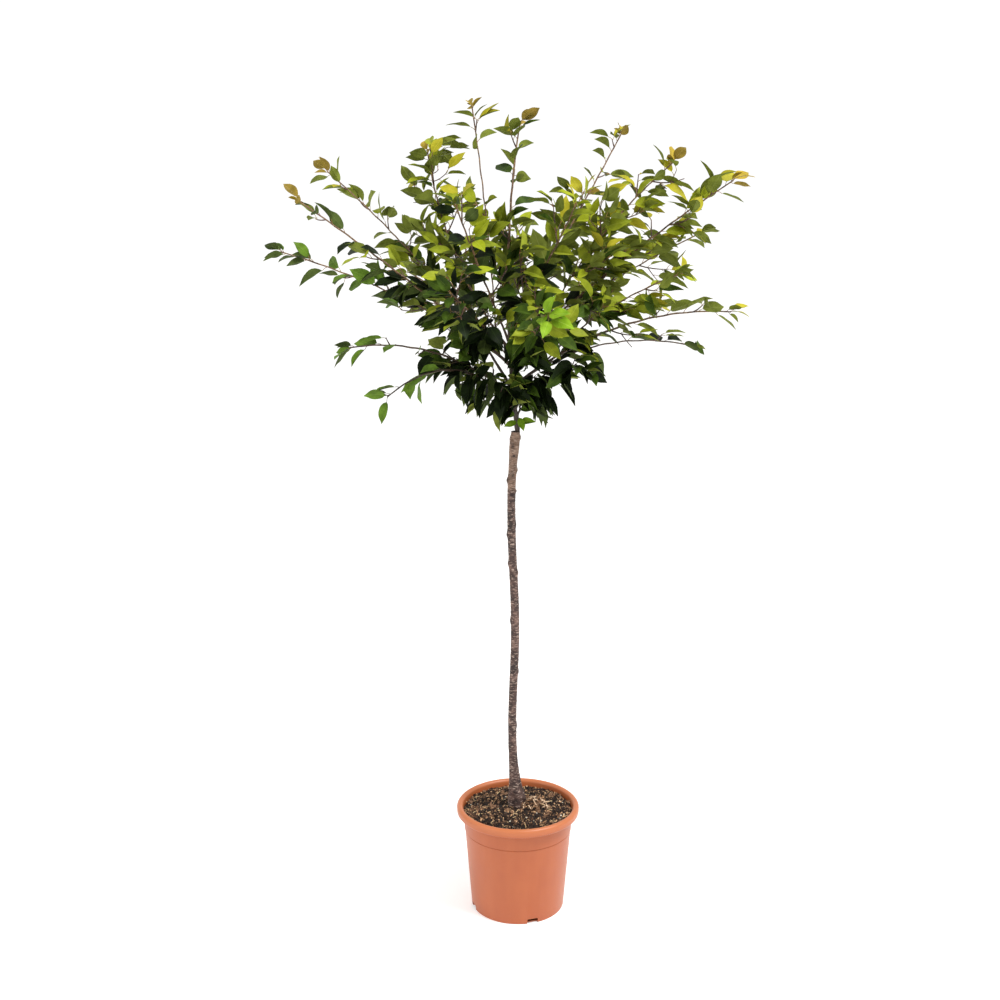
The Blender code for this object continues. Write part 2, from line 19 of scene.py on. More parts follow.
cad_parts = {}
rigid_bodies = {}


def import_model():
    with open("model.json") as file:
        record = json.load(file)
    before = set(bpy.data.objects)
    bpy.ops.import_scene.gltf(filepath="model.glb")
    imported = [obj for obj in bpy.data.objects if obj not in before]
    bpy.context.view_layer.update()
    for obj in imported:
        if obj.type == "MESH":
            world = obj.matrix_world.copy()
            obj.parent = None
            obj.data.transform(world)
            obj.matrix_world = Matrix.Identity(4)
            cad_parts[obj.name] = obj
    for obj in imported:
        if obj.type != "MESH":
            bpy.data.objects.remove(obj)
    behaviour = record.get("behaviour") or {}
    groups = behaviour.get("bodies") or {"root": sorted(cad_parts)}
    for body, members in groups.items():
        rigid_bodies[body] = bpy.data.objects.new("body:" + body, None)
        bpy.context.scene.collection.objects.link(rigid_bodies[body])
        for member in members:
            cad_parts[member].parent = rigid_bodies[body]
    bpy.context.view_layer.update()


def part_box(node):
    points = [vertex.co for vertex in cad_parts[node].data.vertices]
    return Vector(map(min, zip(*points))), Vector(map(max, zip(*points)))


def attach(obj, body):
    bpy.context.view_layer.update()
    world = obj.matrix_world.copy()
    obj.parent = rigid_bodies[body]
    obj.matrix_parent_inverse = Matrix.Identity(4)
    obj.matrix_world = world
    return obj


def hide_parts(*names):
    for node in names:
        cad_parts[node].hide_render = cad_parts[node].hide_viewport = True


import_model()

# %% [markdown]
# The camera stands three metres off, a little above the middle of the crown, and looks down on the
# tree. Its height and tilt follow from how open the ellipse of the pot's rim looks and from how the
# stem runs out of the picture's middle. There is no shift and no depth of field.

# %% Camera
CAMERA_PLACE = (-0.0425, -3.0, 1.70)
CAMERA_TILT_DEG = 13.23
CAMERA_LENS_MM = 49.28


def in_scene(name, data):
    """Links a new object to the scene, at the origin."""
    made = bpy.data.objects.new(name, data)
    bpy.context.scene.collection.objects.link(made)
    return made


lens = bpy.data.cameras.new("camera")
lens.lens = CAMERA_LENS_MM
lens.sensor_width = 36.0
lens.dof.use_dof = False
camera = in_scene("camera", lens)
camera.location = CAMERA_PLACE
camera.rotation_euler = (math.radians(90 - CAMERA_TILT_DEG), 0.0, 0.0)
bpy.context.scene.camera = camera
print("camera at", CAMERA_PLACE)

# %% [markdown]
# Helpers for materials. Colours are written as they look on a screen, so one function turns such a
# code into the linear values that the shader works in. The others add a node and fill its inputs,
# with values or with what another node gives, so that a material reads like a recipe. Inputs go by
# name, or by number where that is shorter or where names are shared. A Map Range has its value at 0
# and its two ranges at 1 to 4. A Mix of colours has its share at 0 and the colours at 6 and 7.


# %% Helpers for materials
def linear(code):
    """The linear colour for an sRGB code such as #cd7752."""
    parts = [int(code[i : i + 2], 16) / 255 for i in (1, 3, 5)]
    flat = [c / 12.92 if c <= 0.04045 else ((c + 0.055) / 1.055) ** 2.4 for c in parts]
    return (*flat, 1.0)


def feed(node, inputs):
    """Sets inputs to values, or links them to a socket or to another node's first live output."""
    for name, value in inputs.items():
        if isinstance(value, bpy.types.Node):
            value = next(socket for socket in value.outputs if socket.enabled)
        if isinstance(value, bpy.types.NodeSocket):
            node.id_data.links.new(value, node.inputs[name])
        else:
            node.inputs[name].default_value = value


def add(tree, kind, inputs=None, stops=(), **settings):
    """Adds a node with its settings, its inputs and, for a colour ramp, its stops."""
    node = tree.nodes.new(kind)
    for name, value in settings.items():
        setattr(node, name, value)
    if stops:
        while len(node.color_ramp.elements) < len(stops):
            node.color_ramp.elements.new(1.0)
        for element, (place, code) in zip(node.color_ramp.elements, stops):
            element.position = place
            element.color = linear(code)
    feed(node, inputs or {})
    return node


def new_finish(name, roughness, ior=1.5):
    """A material, its tree, its Principled shader, and the place on the object as a socket."""
    made = bpy.data.materials.new(name)
    made.use_nodes = True
    shader = made.node_tree.nodes["Principled BSDF"]
    feed(shader, {"Roughness": roughness, "IOR": ior})
    return made, made.node_tree, shader, add(made.node_tree, "ShaderNodeTexCoord").outputs["Object"]


# %% [markdown]
# Every piece ends up as a plain mesh whose object sits at the origin. One helper makes such a piece
# from a bmesh, and another joins rings of points into faces. The next ones make a tree of Geometry
# Nodes, run it on a starting mesh and keep what comes out as plain faces.


# %% Helpers for pieces
def smooth(mesh, sharp_deg):
    """Smooth shading, apart from edges sharper than the angle."""
    mesh.shade_smooth()
    mesh.set_sharp_from_angle(angle=math.radians(sharp_deg))


def piece_from(name, bm, *materials, sharp_deg=35):
    """Turns a bmesh into an object."""
    mesh = bpy.data.meshes.new(name)
    bm.to_mesh(mesh)
    bm.free()
    smooth(mesh, sharp_deg)
    for material in materials:
        mesh.materials.append(material)
    return in_scene(name, mesh)


def join_rings(bm, rings):
    """Faces from each ring of points to the next. A ring may be a single point."""
    for low, high in zip(rings, rings[1:]):
        sides = max(len(low), len(high))
        for k in range(sides):
            after = (k + 1) % sides
            corners = [low[k % len(low)], low[after % len(low)], high[after % len(high)], high[k % len(high)]]
            bm.faces.new(list(dict.fromkeys(corners)))


# %% Helpers for Geometry Nodes
def applied(name, start):
    """A plain mesh object of the start as its modifiers leave it. The start is removed."""
    mesh = bpy.data.meshes.new_from_object(start.evaluated_get(bpy.context.evaluated_depsgraph_get()))
    bpy.data.objects.remove(start)
    mesh.name = name
    return in_scene(name, mesh)


def new_tree(name, **inputs):
    """A Geometry Nodes tree with named inputs: the tree, the sockets it is given, and its end."""
    tree = bpy.data.node_groups.new(name, "GeometryNodeTree")
    for label, kind in {"Geometry": "Geometry", **inputs}.items():
        tree.interface.new_socket(label, in_out="INPUT", socket_type=f"NodeSocket{kind}")
    tree.interface.new_socket("Geometry", in_out="OUTPUT", socket_type="NodeSocketGeometry")
    return tree, add(tree, "NodeGroupInput").outputs, add(tree, "NodeGroupOutput")


def run_tree(name, start, tree, **values):
    """Runs the tree on the starting object and keeps the result as a plain mesh object."""
    step = start.modifiers.new("grow", "NODES")
    step.node_group = tree
    for label, value in values.items():
        step[tree.interface.items_tree[label].identifier] = value
    return applied(name, start)


def place_piece(piece, slot, *nodes):
    """The piece goes with the tree's one body and stands for the nodes, which are hidden. The slot is not
    used.
    """
    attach(piece, "root")
    if nodes:
        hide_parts(*nodes)
    print(f"{piece.name}: {len(piece.data.polygons)} faces")


# %% [markdown]
# The pot is injection-moulded polypropylene, dyed terracotta: a tapering bucket with a rolled lip, a
# plain band under it that ends in a fine step, and four drain notches round the foot. A turned shape
# is the natural way to make it. The outline runs up the outside, over the lip in arcs and down the
# inside, and its main sizes are read from the solid that it stands for.

# %% Outline of the pot
pot_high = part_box("pot")[1]
POT_TOP = pot_high.z
LIP_RADIUS = pot_high.x
FOOT_SHARE, FOOT_ROUND = 0.7586, 0.003
FOOT_RADIUS = LIP_RADIUS * FOOT_SHARE
STEP_HEIGHT, STEP_RADIUS = 0.195, 0.1255
STEP_EDGE = [(0.0, -0.0012), (-0.0008, -0.0004), (-0.0008, 0.0006), (0.0013, 0.0016)]
BAND_RADIUS, BAND_COVE = 0.1280, 0.006
LIP_HEIGHT, LIP_ROUND = 0.0205, 0.0080
LIP_EDGE, LIP_EDGE_INSET = 0.005, 0.0055
MOUTH_RADIUS, MOUTH_TAPER = 0.1300, 0.0015
WALL, FLOOR = 0.002, 0.003


def arc(radius, height, size, first_deg, last_deg, steps):
    """Points of an arc about a centre, as (radius, height) pairs."""
    turns = [math.radians(first_deg + (last_deg - first_deg) * i / steps) for i in range(steps + 1)]
    return [(radius + size * math.cos(turn), height + size * math.sin(turn)) for turn in turns]


def pot_outline():
    """The pot's outline from the middle of its underside to the middle of its floor."""
    lip_foot = POT_TOP - LIP_HEIGHT
    lip_middle = POT_TOP - LIP_ROUND
    outside = [(0.0, 0.0), *arc(FOOT_RADIUS - FOOT_ROUND, FOOT_ROUND, FOOT_ROUND, -90, -5, 5)]
    outside += [(STEP_RADIUS + out, STEP_HEIGHT + up) for out, up in STEP_EDGE]
    outside += [(BAND_RADIUS, lip_foot - 2 * BAND_COVE)]
    outside += arc(BAND_RADIUS + BAND_COVE, lip_foot - BAND_COVE, BAND_COVE, 180, 90, 6)
    outside += arc(LIP_RADIUS - LIP_EDGE_INSET, lip_foot + LIP_EDGE, LIP_EDGE, -90, 0, 6)
    outside += arc(LIP_RADIUS - LIP_ROUND, lip_middle, LIP_ROUND, 8, 90, 8)
    outside += arc(MOUTH_RADIUS + LIP_ROUND, lip_middle, LIP_ROUND, 95, 180, 8)
    inside = [(MOUTH_RADIUS - MOUTH_TAPER, lip_foot), (STEP_RADIUS - WALL, STEP_HEIGHT)]
    return outside + inside + [(FOOT_RADIUS - WALL, FLOOR), (0.0, FLOOR)]


print("pot outline:", len(pot_outline()), "points")

# %% Turn the pot and cut its drain notches
POT_SIDES = 144
NOTCH_SIZE = (0.026, 0.016, 0.025)
NOTCH_ROUND = 0.0012
NOTCH_AZIMUTHS = [18.0 + 90.0 * k for k in range(4)]


def around(azimuth):
    """The level unit vector at an azimuth, 0 towards the seen side and 90 towards the right."""
    turn = math.radians(azimuth)
    return Vector((math.sin(turn), -math.cos(turn), 0.0))


def turned(outline, sides):
    """A closed bmesh turned about the axis from (radius, height) pairs."""
    bm = bmesh.new()
    rings = []
    for radius, height in outline:
        turns = [2 * math.pi * k / sides for k in range(sides if radius else 1)]
        rings.append([bm.verts.new((radius * math.cos(t), radius * math.sin(t), height)) for t in turns])
    join_rings(bm, rings)
    bmesh.ops.recalc_face_normals(bm, faces=bm.faces)
    return bm


def notch_cutters():
    """Four rounded blocks at the foot, as one bmesh."""
    bm = bmesh.new()
    for azimuth in NOTCH_AZIMUTHS:
        made = bmesh.ops.create_cube(bm, size=1.0)
        bmesh.ops.scale(bm, vec=NOTCH_SIZE, verts=made["verts"])
        turn = Matrix.Rotation(math.radians(azimuth), 4, "Z")
        spot = Matrix.Translation(around(azimuth) * FOOT_RADIUS)
        bmesh.ops.transform(bm, matrix=spot @ turn, verts=made["verts"])
    bmesh.ops.bevel(bm, geom=bm.edges, offset=NOTCH_ROUND, segments=2, affect="EDGES")
    return bm


# %% [markdown]
# Dyed polypropylene has no gloss coat. Light sinks in a little, so the orange stays warm in the
# shade, and the mould leaves a fine even grain with faint upright flow marks. Handling and compost
# leave it slightly uneven in tone. The lip is painted a shade paler than the body, a painted
# highlight where the light falls on its top.

# %% Finish of the pot
FLOW_MARKS_PER_M = (34.0, 34.0, 5.0)
CLOUDS_PER_M = 16.0
GRAIN_PER_M = 1400.0
SMOOTHEST, ROUGHEST = 0.34, 0.46
DYED_TONES = [(0.32, "#a2512a"), (0.50, "#a6552c"), (0.68, "#aa592f")]
PAINTED_LIP_LIGHT = "#ba6c40"


def polypropylene():
    made, tree, shader, place = new_finish("moulded_polypropylene", 0.40, ior=1.49)
    drawn = add(tree, "ShaderNodeMapping", {"Vector": place, "Scale": FLOW_MARKS_PER_M})
    flow = add(tree, "ShaderNodeTexNoise", {"Vector": drawn, "Scale": 1.0, "Detail": 3.0})
    cloud = add(tree, "ShaderNodeTexNoise", {"Vector": place, "Scale": CLOUDS_PER_M, "Detail": 4.0})
    both = add(tree, "ShaderNodeMath", {0: flow, 1: cloud}, operation="ADD")
    half = add(tree, "ShaderNodeMath", {0: both, 1: 0.5}, operation="MULTIPLY")
    tone = add(tree, "ShaderNodeValToRGB", {"Fac": half}, stops=DYED_TONES)
    height = add(tree, "ShaderNodeSeparateXYZ", {0: place}).outputs["Z"]
    # painted highlight: the colour is mixed towards a paler tone from the lip's foot up to its top
    lip_light_share = add(tree, "ShaderNodeMapRange", {0: height, 1: POT_TOP - LIP_HEIGHT, 2: POT_TOP})
    lip_lit_tone = add(tree, "ShaderNodeMix", {0: lip_light_share, 6: tone, 7: linear(PAINTED_LIP_LIGHT)}, data_type="RGBA")
    rough = add(tree, "ShaderNodeMapRange", {0: cloud, 3: SMOOTHEST, 4: ROUGHEST})
    grain = add(tree, "ShaderNodeTexNoise", {"Vector": place, "Scale": GRAIN_PER_M, "Detail": 2.0})
    bump = add(tree, "ShaderNodeBump", {"Height": grain, "Strength": 0.12, "Distance": 0.0004})
    feed(shader, {"Base Color": lip_lit_tone, "Roughness": rough, "Normal": bump})
    return made


# %% Make the pot
def build_pot():
    plastic = polypropylene()
    blank = piece_from("pot_blank", turned(pot_outline(), POT_SIDES), plastic)
    cutter = piece_from("notch_cutter", notch_cutters(), plastic)
    cut = blank.modifiers.new("notches", "BOOLEAN")
    cut.operation = "DIFFERENCE"
    cut.solver = "EXACT"
    cut.object = cutter
    made = applied("nursery_pot", blank)
    bpy.data.objects.remove(cutter)
    smooth(made.data, sharp_deg=38)
    place_piece(made, "terracotta_plastic", "pot")


build_pot()

# %% [markdown]
# The compost is bark and peat, crumbly and dark. Along the wall it has settled 17 mm below the lip.
# It is made as a closed plug that fills the pot, with a domed top. Three sizes of noise give that top
# its lumps, and a low mound stands on the right of the stem, where dead roots come to the surface.

# %% Shape of the compost
SOIL_EDGE, SOIL_MIDDLE = 0.239, 0.251
SOIL_RINGS, SOIL_SIDES = 56, 160
SOIL_GAP = 0.0003
SOIL_WALL_RADIUS = STEP_RADIUS - WALL - SOIL_GAP
SOIL_EDGE_RADIUS = 0.1278
DRAIN_DEPTH, DRAIN_TOP = 0.014, NOTCH_SIZE[2] / 2 + 0.004
LUMPS, LUMPS_SEED = [(34.0, 0.0042), (110.0, 0.0030), (300.0, 0.0014)], 0.3
MOUND = Vector((0.040, -0.004, 0.0))
MOUND_HEIGHT, MOUND_RADIUS = 0.018, 0.022


def soil_height(x, y):
    """The height of the compost's surface at a place."""
    out = min(1.0, math.hypot(x, y) / SOIL_EDGE_RADIUS)
    height = SOIL_EDGE + (SOIL_MIDDLE - SOIL_EDGE) * math.cos(out * math.pi / 2)
    for per_m, rise in LUMPS:
        height += rise * noise.noise(Vector((x, y, LUMPS_SEED)) * per_m)
    away = math.hypot(x - MOUND.x, y - MOUND.y) / MOUND_RADIUS
    return height + MOUND_HEIGHT * math.exp(-away * away)


def soil_plug():
    """The compost as a closed bmesh, with its lumps and its mound."""
    outline = [(0.0, FLOOR + SOIL_GAP), (FOOT_RADIUS - DRAIN_DEPTH, FLOOR + SOIL_GAP)]
    outline += [(FOOT_RADIUS - WALL - SOIL_GAP, DRAIN_TOP), (SOIL_WALL_RADIUS, STEP_HEIGHT)]
    outline += [(SOIL_EDGE_RADIUS * (1 - i / SOIL_RINGS), SOIL_MIDDLE) for i in range(SOIL_RINGS)]
    bm = turned([*outline, (0.0, SOIL_MIDDLE)], SOIL_SIDES)
    for vert in bm.verts:
        if vert.co.z > STEP_HEIGHT + 0.001:
            vert.co.z = soil_height(vert.co.x, vert.co.y)
    return bm


# %% [markdown]
# Damp compost is nearly black between its crumbs and warm brown on top of them. It has no gloss at
# all. The colour follows a coarse noise, as large as the crumbs. A fine noise roughens the surface
# like the peat between them.

# %% Finish of the compost
CRUMBS_PER_M = 210.0
PEAT_PER_M = 900.0
COMPOST_TONES = [(0.42, "#0a0503"), (0.55, "#22150d"), (0.68, "#543a29"), (0.80, "#8a6848")]


def damp_compost():
    made, tree, shader, place = new_finish("damp_bark_compost", 0.93)
    crumb = add(tree, "ShaderNodeTexNoise", {"Vector": place, "Scale": CRUMBS_PER_M, "Detail": 5.0})
    tone = add(tree, "ShaderNodeValToRGB", {"Fac": crumb}, stops=COMPOST_TONES)
    peat = add(tree, "ShaderNodeTexNoise", {"Vector": place, "Scale": PEAT_PER_M, "Detail": 3.0})
    bump = add(tree, "ShaderNodeBump", {"Height": peat, "Strength": 0.6, "Distance": 0.0012})
    feed(shader, {"Base Color": tone, "Normal": bump})
    return made


place_piece(piece_from("compost_plug", soil_plug(), damp_compost(), sharp_deg=60), "compost", "soil")

# %% [markdown]
# What lies loose on the compost: crumbs and clods of peat, chips of bark, pale flecks, dry fibres,
# and dead roots on the mound. Geometry Nodes scatter them. Each kind is one small shape, dealt over
# the top of the plug with a seed, turned at random and sized between two limits.

# %% A tree of nodes that scatters a small shape over the compost
UPWARD = 0.25


def scatter_tree():
    """Deals a shape over the faces that look up, each at its own turn, size and tint."""
    kinds = {"Shape": "Object", "PerSquareMetre": "Float", "Smallest": "Float", "Largest": "Float"}
    tree, given, end = new_tree("scatter", **kinds, Flatness="Float", Seed="Int", Finish="Material")
    seed, flat = given["Seed"], given["Flatness"]
    height = add(tree, "ShaderNodeSeparateXYZ", {0: add(tree, "GeometryNodeInputNormal")}).outputs["Z"]
    upward = add(tree, "FunctionNodeCompare", {0: height, 1: UPWARD}, operation="GREATER_THAN")
    where = {"Mesh": given["Geometry"], "Selection": upward, "Density": given["PerSquareMetre"]}
    points = add(tree, "GeometryNodeDistributePointsOnFaces", {**where, "Seed": seed})
    shape = add(tree, "GeometryNodeObjectInfo", {"Object": given["Shape"]}).outputs["Geometry"]
    tilt = add(tree, "ShaderNodeCombineXYZ", {0: flat, 1: flat, 2: math.pi})
    back = add(tree, "ShaderNodeVectorMath", {0: tilt, "Scale": -1.0}, operation="SCALE")
    turn = add(tree, "FunctionNodeRandomValue", {0: back, 1: tilt, "Seed": seed}, data_type="FLOAT_VECTOR")
    sizes = {2: given["Smallest"], 3: given["Largest"], "Seed": seed}
    size = add(tree, "FunctionNodeRandomValue", sizes, data_type="FLOAT")
    pose = {"Points": points, "Instance": shape, "Rotation": turn, "Scale": size}
    dealt = add(tree, "GeometryNodeInstanceOnPoints", pose)
    tint = add(tree, "FunctionNodeRandomValue", {2: 0.0, 3: 1.0, "Seed": seed}, data_type="FLOAT")
    column = {"Geometry": dealt, "Name": "tint", "Value": tint}
    tinted = add(tree, "GeometryNodeStoreNamedAttribute", column, data_type="FLOAT", domain="INSTANCE")
    real = add(tree, "GeometryNodeRealizeInstances", {0: tinted})
    feed(end, {0: add(tree, "GeometryNodeSetMaterial", {0: real, "Material": given["Finish"]})})
    return tree


SCATTER = scatter_tree()


# %% The small shapes
LUMP_DETAIL = 3.0
FIBRE_SIDES, FIBRE_DRIFT, FIBRE_WAVES = 4, 0.12, 3


def lump(name, stretch, rough, seed, fineness=1):
    """A rough stone-like shape of unit size, from an icosphere."""
    bm = bmesh.new()
    bmesh.ops.create_icosphere(bm, subdivisions=fineness, radius=0.5)
    for vert in bm.verts:
        vert.co *= 1.0 + rough * noise.noise(vert.co * LUMP_DETAIL + Vector((seed, 0, 0)))
        vert.co = Vector((vert.co.x * stretch[0], vert.co.y * stretch[1], vert.co.z * stretch[2]))
    return piece_from(name, bm)


def fibre_shape(name, bend, thick, seed, steps=5):
    """A thin curved stick of unit length with four sides."""
    bm = bmesh.new()
    rings = []
    for i in range(steps + 1):
        share = i / steps - 0.5
        lift = bend * (0.25 - share * share)
        drift = FIBRE_DRIFT * noise.noise(Vector((share * FIBRE_WAVES, seed, 0)))
        turns = [2 * math.pi * k / FIBRE_SIDES for k in range(FIBRE_SIDES)]
        ring = [(share, drift + thick * math.cos(turn), lift + thick * math.sin(turn)) for turn in turns]
        rings.append([bm.verts.new(point) for point in ring])
    join_rings(bm, rings)
    bm.faces.new(rings[0])
    bm.faces.new(rings[-1])
    bmesh.ops.recalc_face_normals(bm, faces=bm.faces)
    return piece_from(name, bm)


# %% Finish of the litter
GRAIN_SHARE = 0.6
LITTER_TONES_AT = (0.34, 0.66, 0.79)


def dry_litter(name, tones, per_m, roughness):
    """The finish of something that lies on compost. Each piece has its own tone."""
    made, tree, shader, place = new_finish(name, roughness)
    grain = add(tree, "ShaderNodeTexNoise", {"Vector": place, "Scale": per_m, "Detail": 3.0})
    tint = add(tree, "ShaderNodeAttribute", attribute_name="tint").outputs["Fac"]
    mixed = add(tree, "ShaderNodeMath", {0: grain, 1: GRAIN_SHARE, 2: tint}, operation="MULTIPLY_ADD")
    fitted = add(tree, "ShaderNodeMath", {0: mixed, 1: 1 + GRAIN_SHARE}, operation="DIVIDE")
    tone = add(tree, "ShaderNodeValToRGB", {"Fac": fitted}, stops=list(zip(LITTER_TONES_AT, tones)))
    bump = add(tree, "ShaderNodeBump", {"Height": grain, "Strength": 0.4, "Distance": 0.0008})
    feed(shader, {"Base Color": tone, "Normal": bump})
    return made


# %% Scatter the litter
HEAP_RADIUS = 0.031
LITTER = [
    # name, shape, number per square metre, sizes, tilt, seed; then tones, grain per metre, roughness
    ("peat_crumbs", lump("crumb", (1, 0.8, 0.7), 0.9, 3.1), 50000.0, (0.0015, 0.0055), 3.1, 3,
     ("#110805", "#3e2718", "#d6aa80"), 120.0, 0.95),
    ("peat_clods", lump("clod", (1, 0.8, 0.6), 1.3, 6.4, 2), 9000.0, (0.005, 0.012), 3.1, 21,
     ("#130a06", "#342318", "#86644a"), 180.0, 0.95),
    ("bark_chips", lump("chip", (1, 0.45, 0.2), 0.7, 7.7), 4200.0, (0.005, 0.012), 1.0, 5,
     ("#180c07", "#55351f", "#d0a074"), 150.0, 0.85),
    ("pale_flecks", lump("fleck", (1, 0.6, 0.4), 0.8, 1.9), 2200.0, (0.003, 0.007), 0.9, 8,
     ("#b89c74", "#e6d8b8", "#fff8e8"), 200.0, 0.85),
    ("dry_fibres", fibre_shape("fibre", 0.5, 0.05, 4.2), 3000.0, (0.008, 0.018), 0.7, 11,
     ("#4a3422", "#98764e", "#e4c494"), 250.0, 0.85),
    ("dead_roots", fibre_shape("root", 0.8, 0.045, 2.6), 20000.0, (0.016, 0.032), 1.0, 14,
     ("#2c1a10", "#8e6848", "#ecccaa"), 180.0, 0.85),
]

for name, shape, per_m2, sizes, tilt, seed, tones, per_m, roughness in LITTER:
    ground = soil_plug()
    if name == "dead_roots":
        off_heap = [f for f in ground.faces if (f.calc_center_median().xy - MOUND.xy).length > HEAP_RADIUS]
        bmesh.ops.delete(ground, geom=off_heap, context="FACES")
    values = {"Shape": shape, "PerSquareMetre": per_m2, "Smallest": sizes[0], "Largest": sizes[1]}
    values |= {"Flatness": tilt, "Seed": seed, "Finish": dry_litter(name, tones, per_m, roughness)}
    place_piece(run_tree(name, piece_from("ground", ground), SCATTER, **values), "compost")
    bpy.data.objects.remove(shape)

# %% [markdown]
# The clear stem runs from the root flare to a cut head. It leans and sways a little, is lobed where
# it meets the compost and swells where limbs once grew. Up to about 1.02 m it is the old rootstock,
# dark and ringed with lenticels. Above that is the grafted part, smoother and paler. The tube below
# follows the same centre line and radius as the solid, with rings close enough together to carry the
# bark's relief: shallow upright flutes, lenticel ridges, knots and the stubs of shoots cut off.

# %% Centre line and radius of the stem
HEAD_HEIGHT, GRAFT_HEIGHT = 1.150, 1.020
STEM_FOOT, STEM_BURIED = SOIL_MIDDLE + SOIL_GAP, 0.012
TRUNK_RADIUS, TRUNK_TAPER = 0.0098, 0.0008
FLARE_RADIUS, FLARE_SHARE, FLARE_POWER = 0.0105, 0.07, 1.5
FLARE_LOBES, LOBE_DEPTH, LOBE_TURN = 5, 0.16, 0.6
KNOB_RADIUS, KNOB_AT, KNOB_SHARE = 0.0024, 0.965, 0.03
FOOT_X, HEAD_X = -0.002, -0.008
LONG_SWAY, SHORT_SWAY = 0.0084, 0.0056


def stem_centre(height):
    """The middle of the stem at a height. Under the compost it goes straight down."""
    share = max(0.0, (height - STEM_FOOT) / (HEAD_HEIGHT - STEM_FOOT))
    sway = LONG_SWAY * math.sin(math.pi * share) + SHORT_SWAY * math.sin(3 * math.pi * share)
    x = FOOT_X + (HEAD_X - FOOT_X) * share - sway
    return Vector((x, 0.5 * SHORT_SWAY * math.sin(2 * math.pi * share), height))


def stem_radius(height, turn):
    """The stem's radius without relief, lobed at the flare and swollen at the head."""
    share = max(0.0, (height - STEM_FOOT) / (HEAD_HEIGHT - STEM_FOOT))
    flare = math.exp(-((share / FLARE_SHARE) ** FLARE_POWER))
    lobes = 1.0 + LOBE_DEPTH * flare * math.cos(FLARE_LOBES * turn + LOBE_TURN)
    knob = math.exp(-(((share - KNOB_AT) / KNOB_SHARE) ** 2))
    return (TRUNK_RADIUS - TRUNK_TAPER * share + FLARE_RADIUS * flare) * lobes + KNOB_RADIUS * knob


# %% The knots
@dataclass
class Knot:
    """A swelling on the stem, with its half width along and round it, and how dark its scar is."""

    height: float
    azimuth: float
    rise: float
    along: float = 0.006
    round: float = 0.006
    scar: float = 0.0


KNOTS = [
    Knot(1.138, 78, 0.0030, 0.007, 0.007),
    Knot(1.136, -80, 0.0018),
    Knot(1.098, 4, -0.0010, 0.0036, 0.0036, 1.0),
    Knot(1.064, 86, 0.0026),
    Knot(1.041, -84, 0.0034, 0.007, scar=0.8),
    Knot(1.016, 70, 0.0024, 0.004, 0.012),
    Knot(1.009, 12, 0.0022, 0.005, scar=1.0),
    Knot(1.013, 170, 0.0018, 0.005, 0.010),
    Knot(0.940, 80, 0.0018, 0.008, scar=0.3),
    Knot(0.916, -84, 0.0026, 0.007, 0.005, 0.9),
    Knot(0.847, -86, 0.0026, 0.007, scar=0.5),
    Knot(0.826, 86, 0.0022, 0.007, scar=0.4),
    Knot(0.780, 190, 0.0024, 0.007, scar=0.6),
    Knot(0.711, -84, 0.0022, 0.007, scar=0.5),
    Knot(0.640, 24, 0.0012, 0.007, scar=0.4),
    Knot(0.585, 92, 0.0018, 0.007, scar=0.5),
    Knot(0.560, -150, 0.0020, 0.007, scar=0.6),
    Knot(0.452, 100, 0.0016, 0.007, scar=0.4),
    Knot(0.404, -40, 0.0014, 0.008, scar=0.4),
    Knot(0.291, -4, 0.0022, scar=0.9),
    Knot(0.275, 60, 0.0034, 0.011, 0.012, 0.2),
    Knot(0.268, -95, 0.0022, 0.010, 0.009, 0.2),
]

# %% Relief of the bark
FLUTE_RISE, RING_RISE, GRAIN_RISE = 0.00080, 0.00085, 0.00045
# how fast each changes round the stem, and with each metre of height
FLUTES, RINGS, GRAINS = (2.2, 9.0), (1.3, 190.0), (6.0, 420.0)
GRAFTED_SHARE = 0.5
KNOT_REACH, SCAR_STRENGTH = 3, 2.2


def bark_noise(out, height, pace, shift=(0.0, 0.0)):
    """Noise on the stem's skin, where out is the level direction from its middle."""
    return noise.noise(out * pace[0] + Vector((*shift, height * pace[1])))


def bark_relief(height, turn):
    """How far the bark stands out of the smooth tube at a place, and how dark a scar is there."""
    out = Vector((math.cos(turn), math.sin(turn), 0.0))
    rough = RING_RISE * max(0.0, bark_noise(out, height, RINGS, (5.0, 0.0)))
    rough += GRAIN_RISE * bark_noise(out, height, GRAINS, (0.0, 9.0))
    old = 1.0 if height < GRAFT_HEIGHT else GRAFTED_SHARE
    relief = FLUTE_RISE * bark_noise(out, height, FLUTES) + old * rough
    radius = stem_radius(height, turn)
    scar = 0.0
    for knot in KNOTS:
        away = (height - knot.height) / knot.along
        if abs(away) > KNOT_REACH:
            continue
        across = radius * math.acos(max(-1.0, min(1.0, out.dot(around(knot.azimuth))))) / knot.round
        near = math.exp(-(away * away + across * across))
        relief += knot.rise * near
        scar = max(scar, knot.scar * min(1.0, SCAR_STRENGTH * near * near))
    return relief, scar


# %% Shape of the stem
STEM_RINGS, STEM_SIDES = 560, 44
HEAD_CUT_RADIUS = 0.0112
HEAD_CUT = [(0.92, 0.0016), (0.74, 0.0018), (0.50, 0.0002), (0.25, 0.0)]
TORN_PER_M, TORN_SHARE = 260.0, 0.9


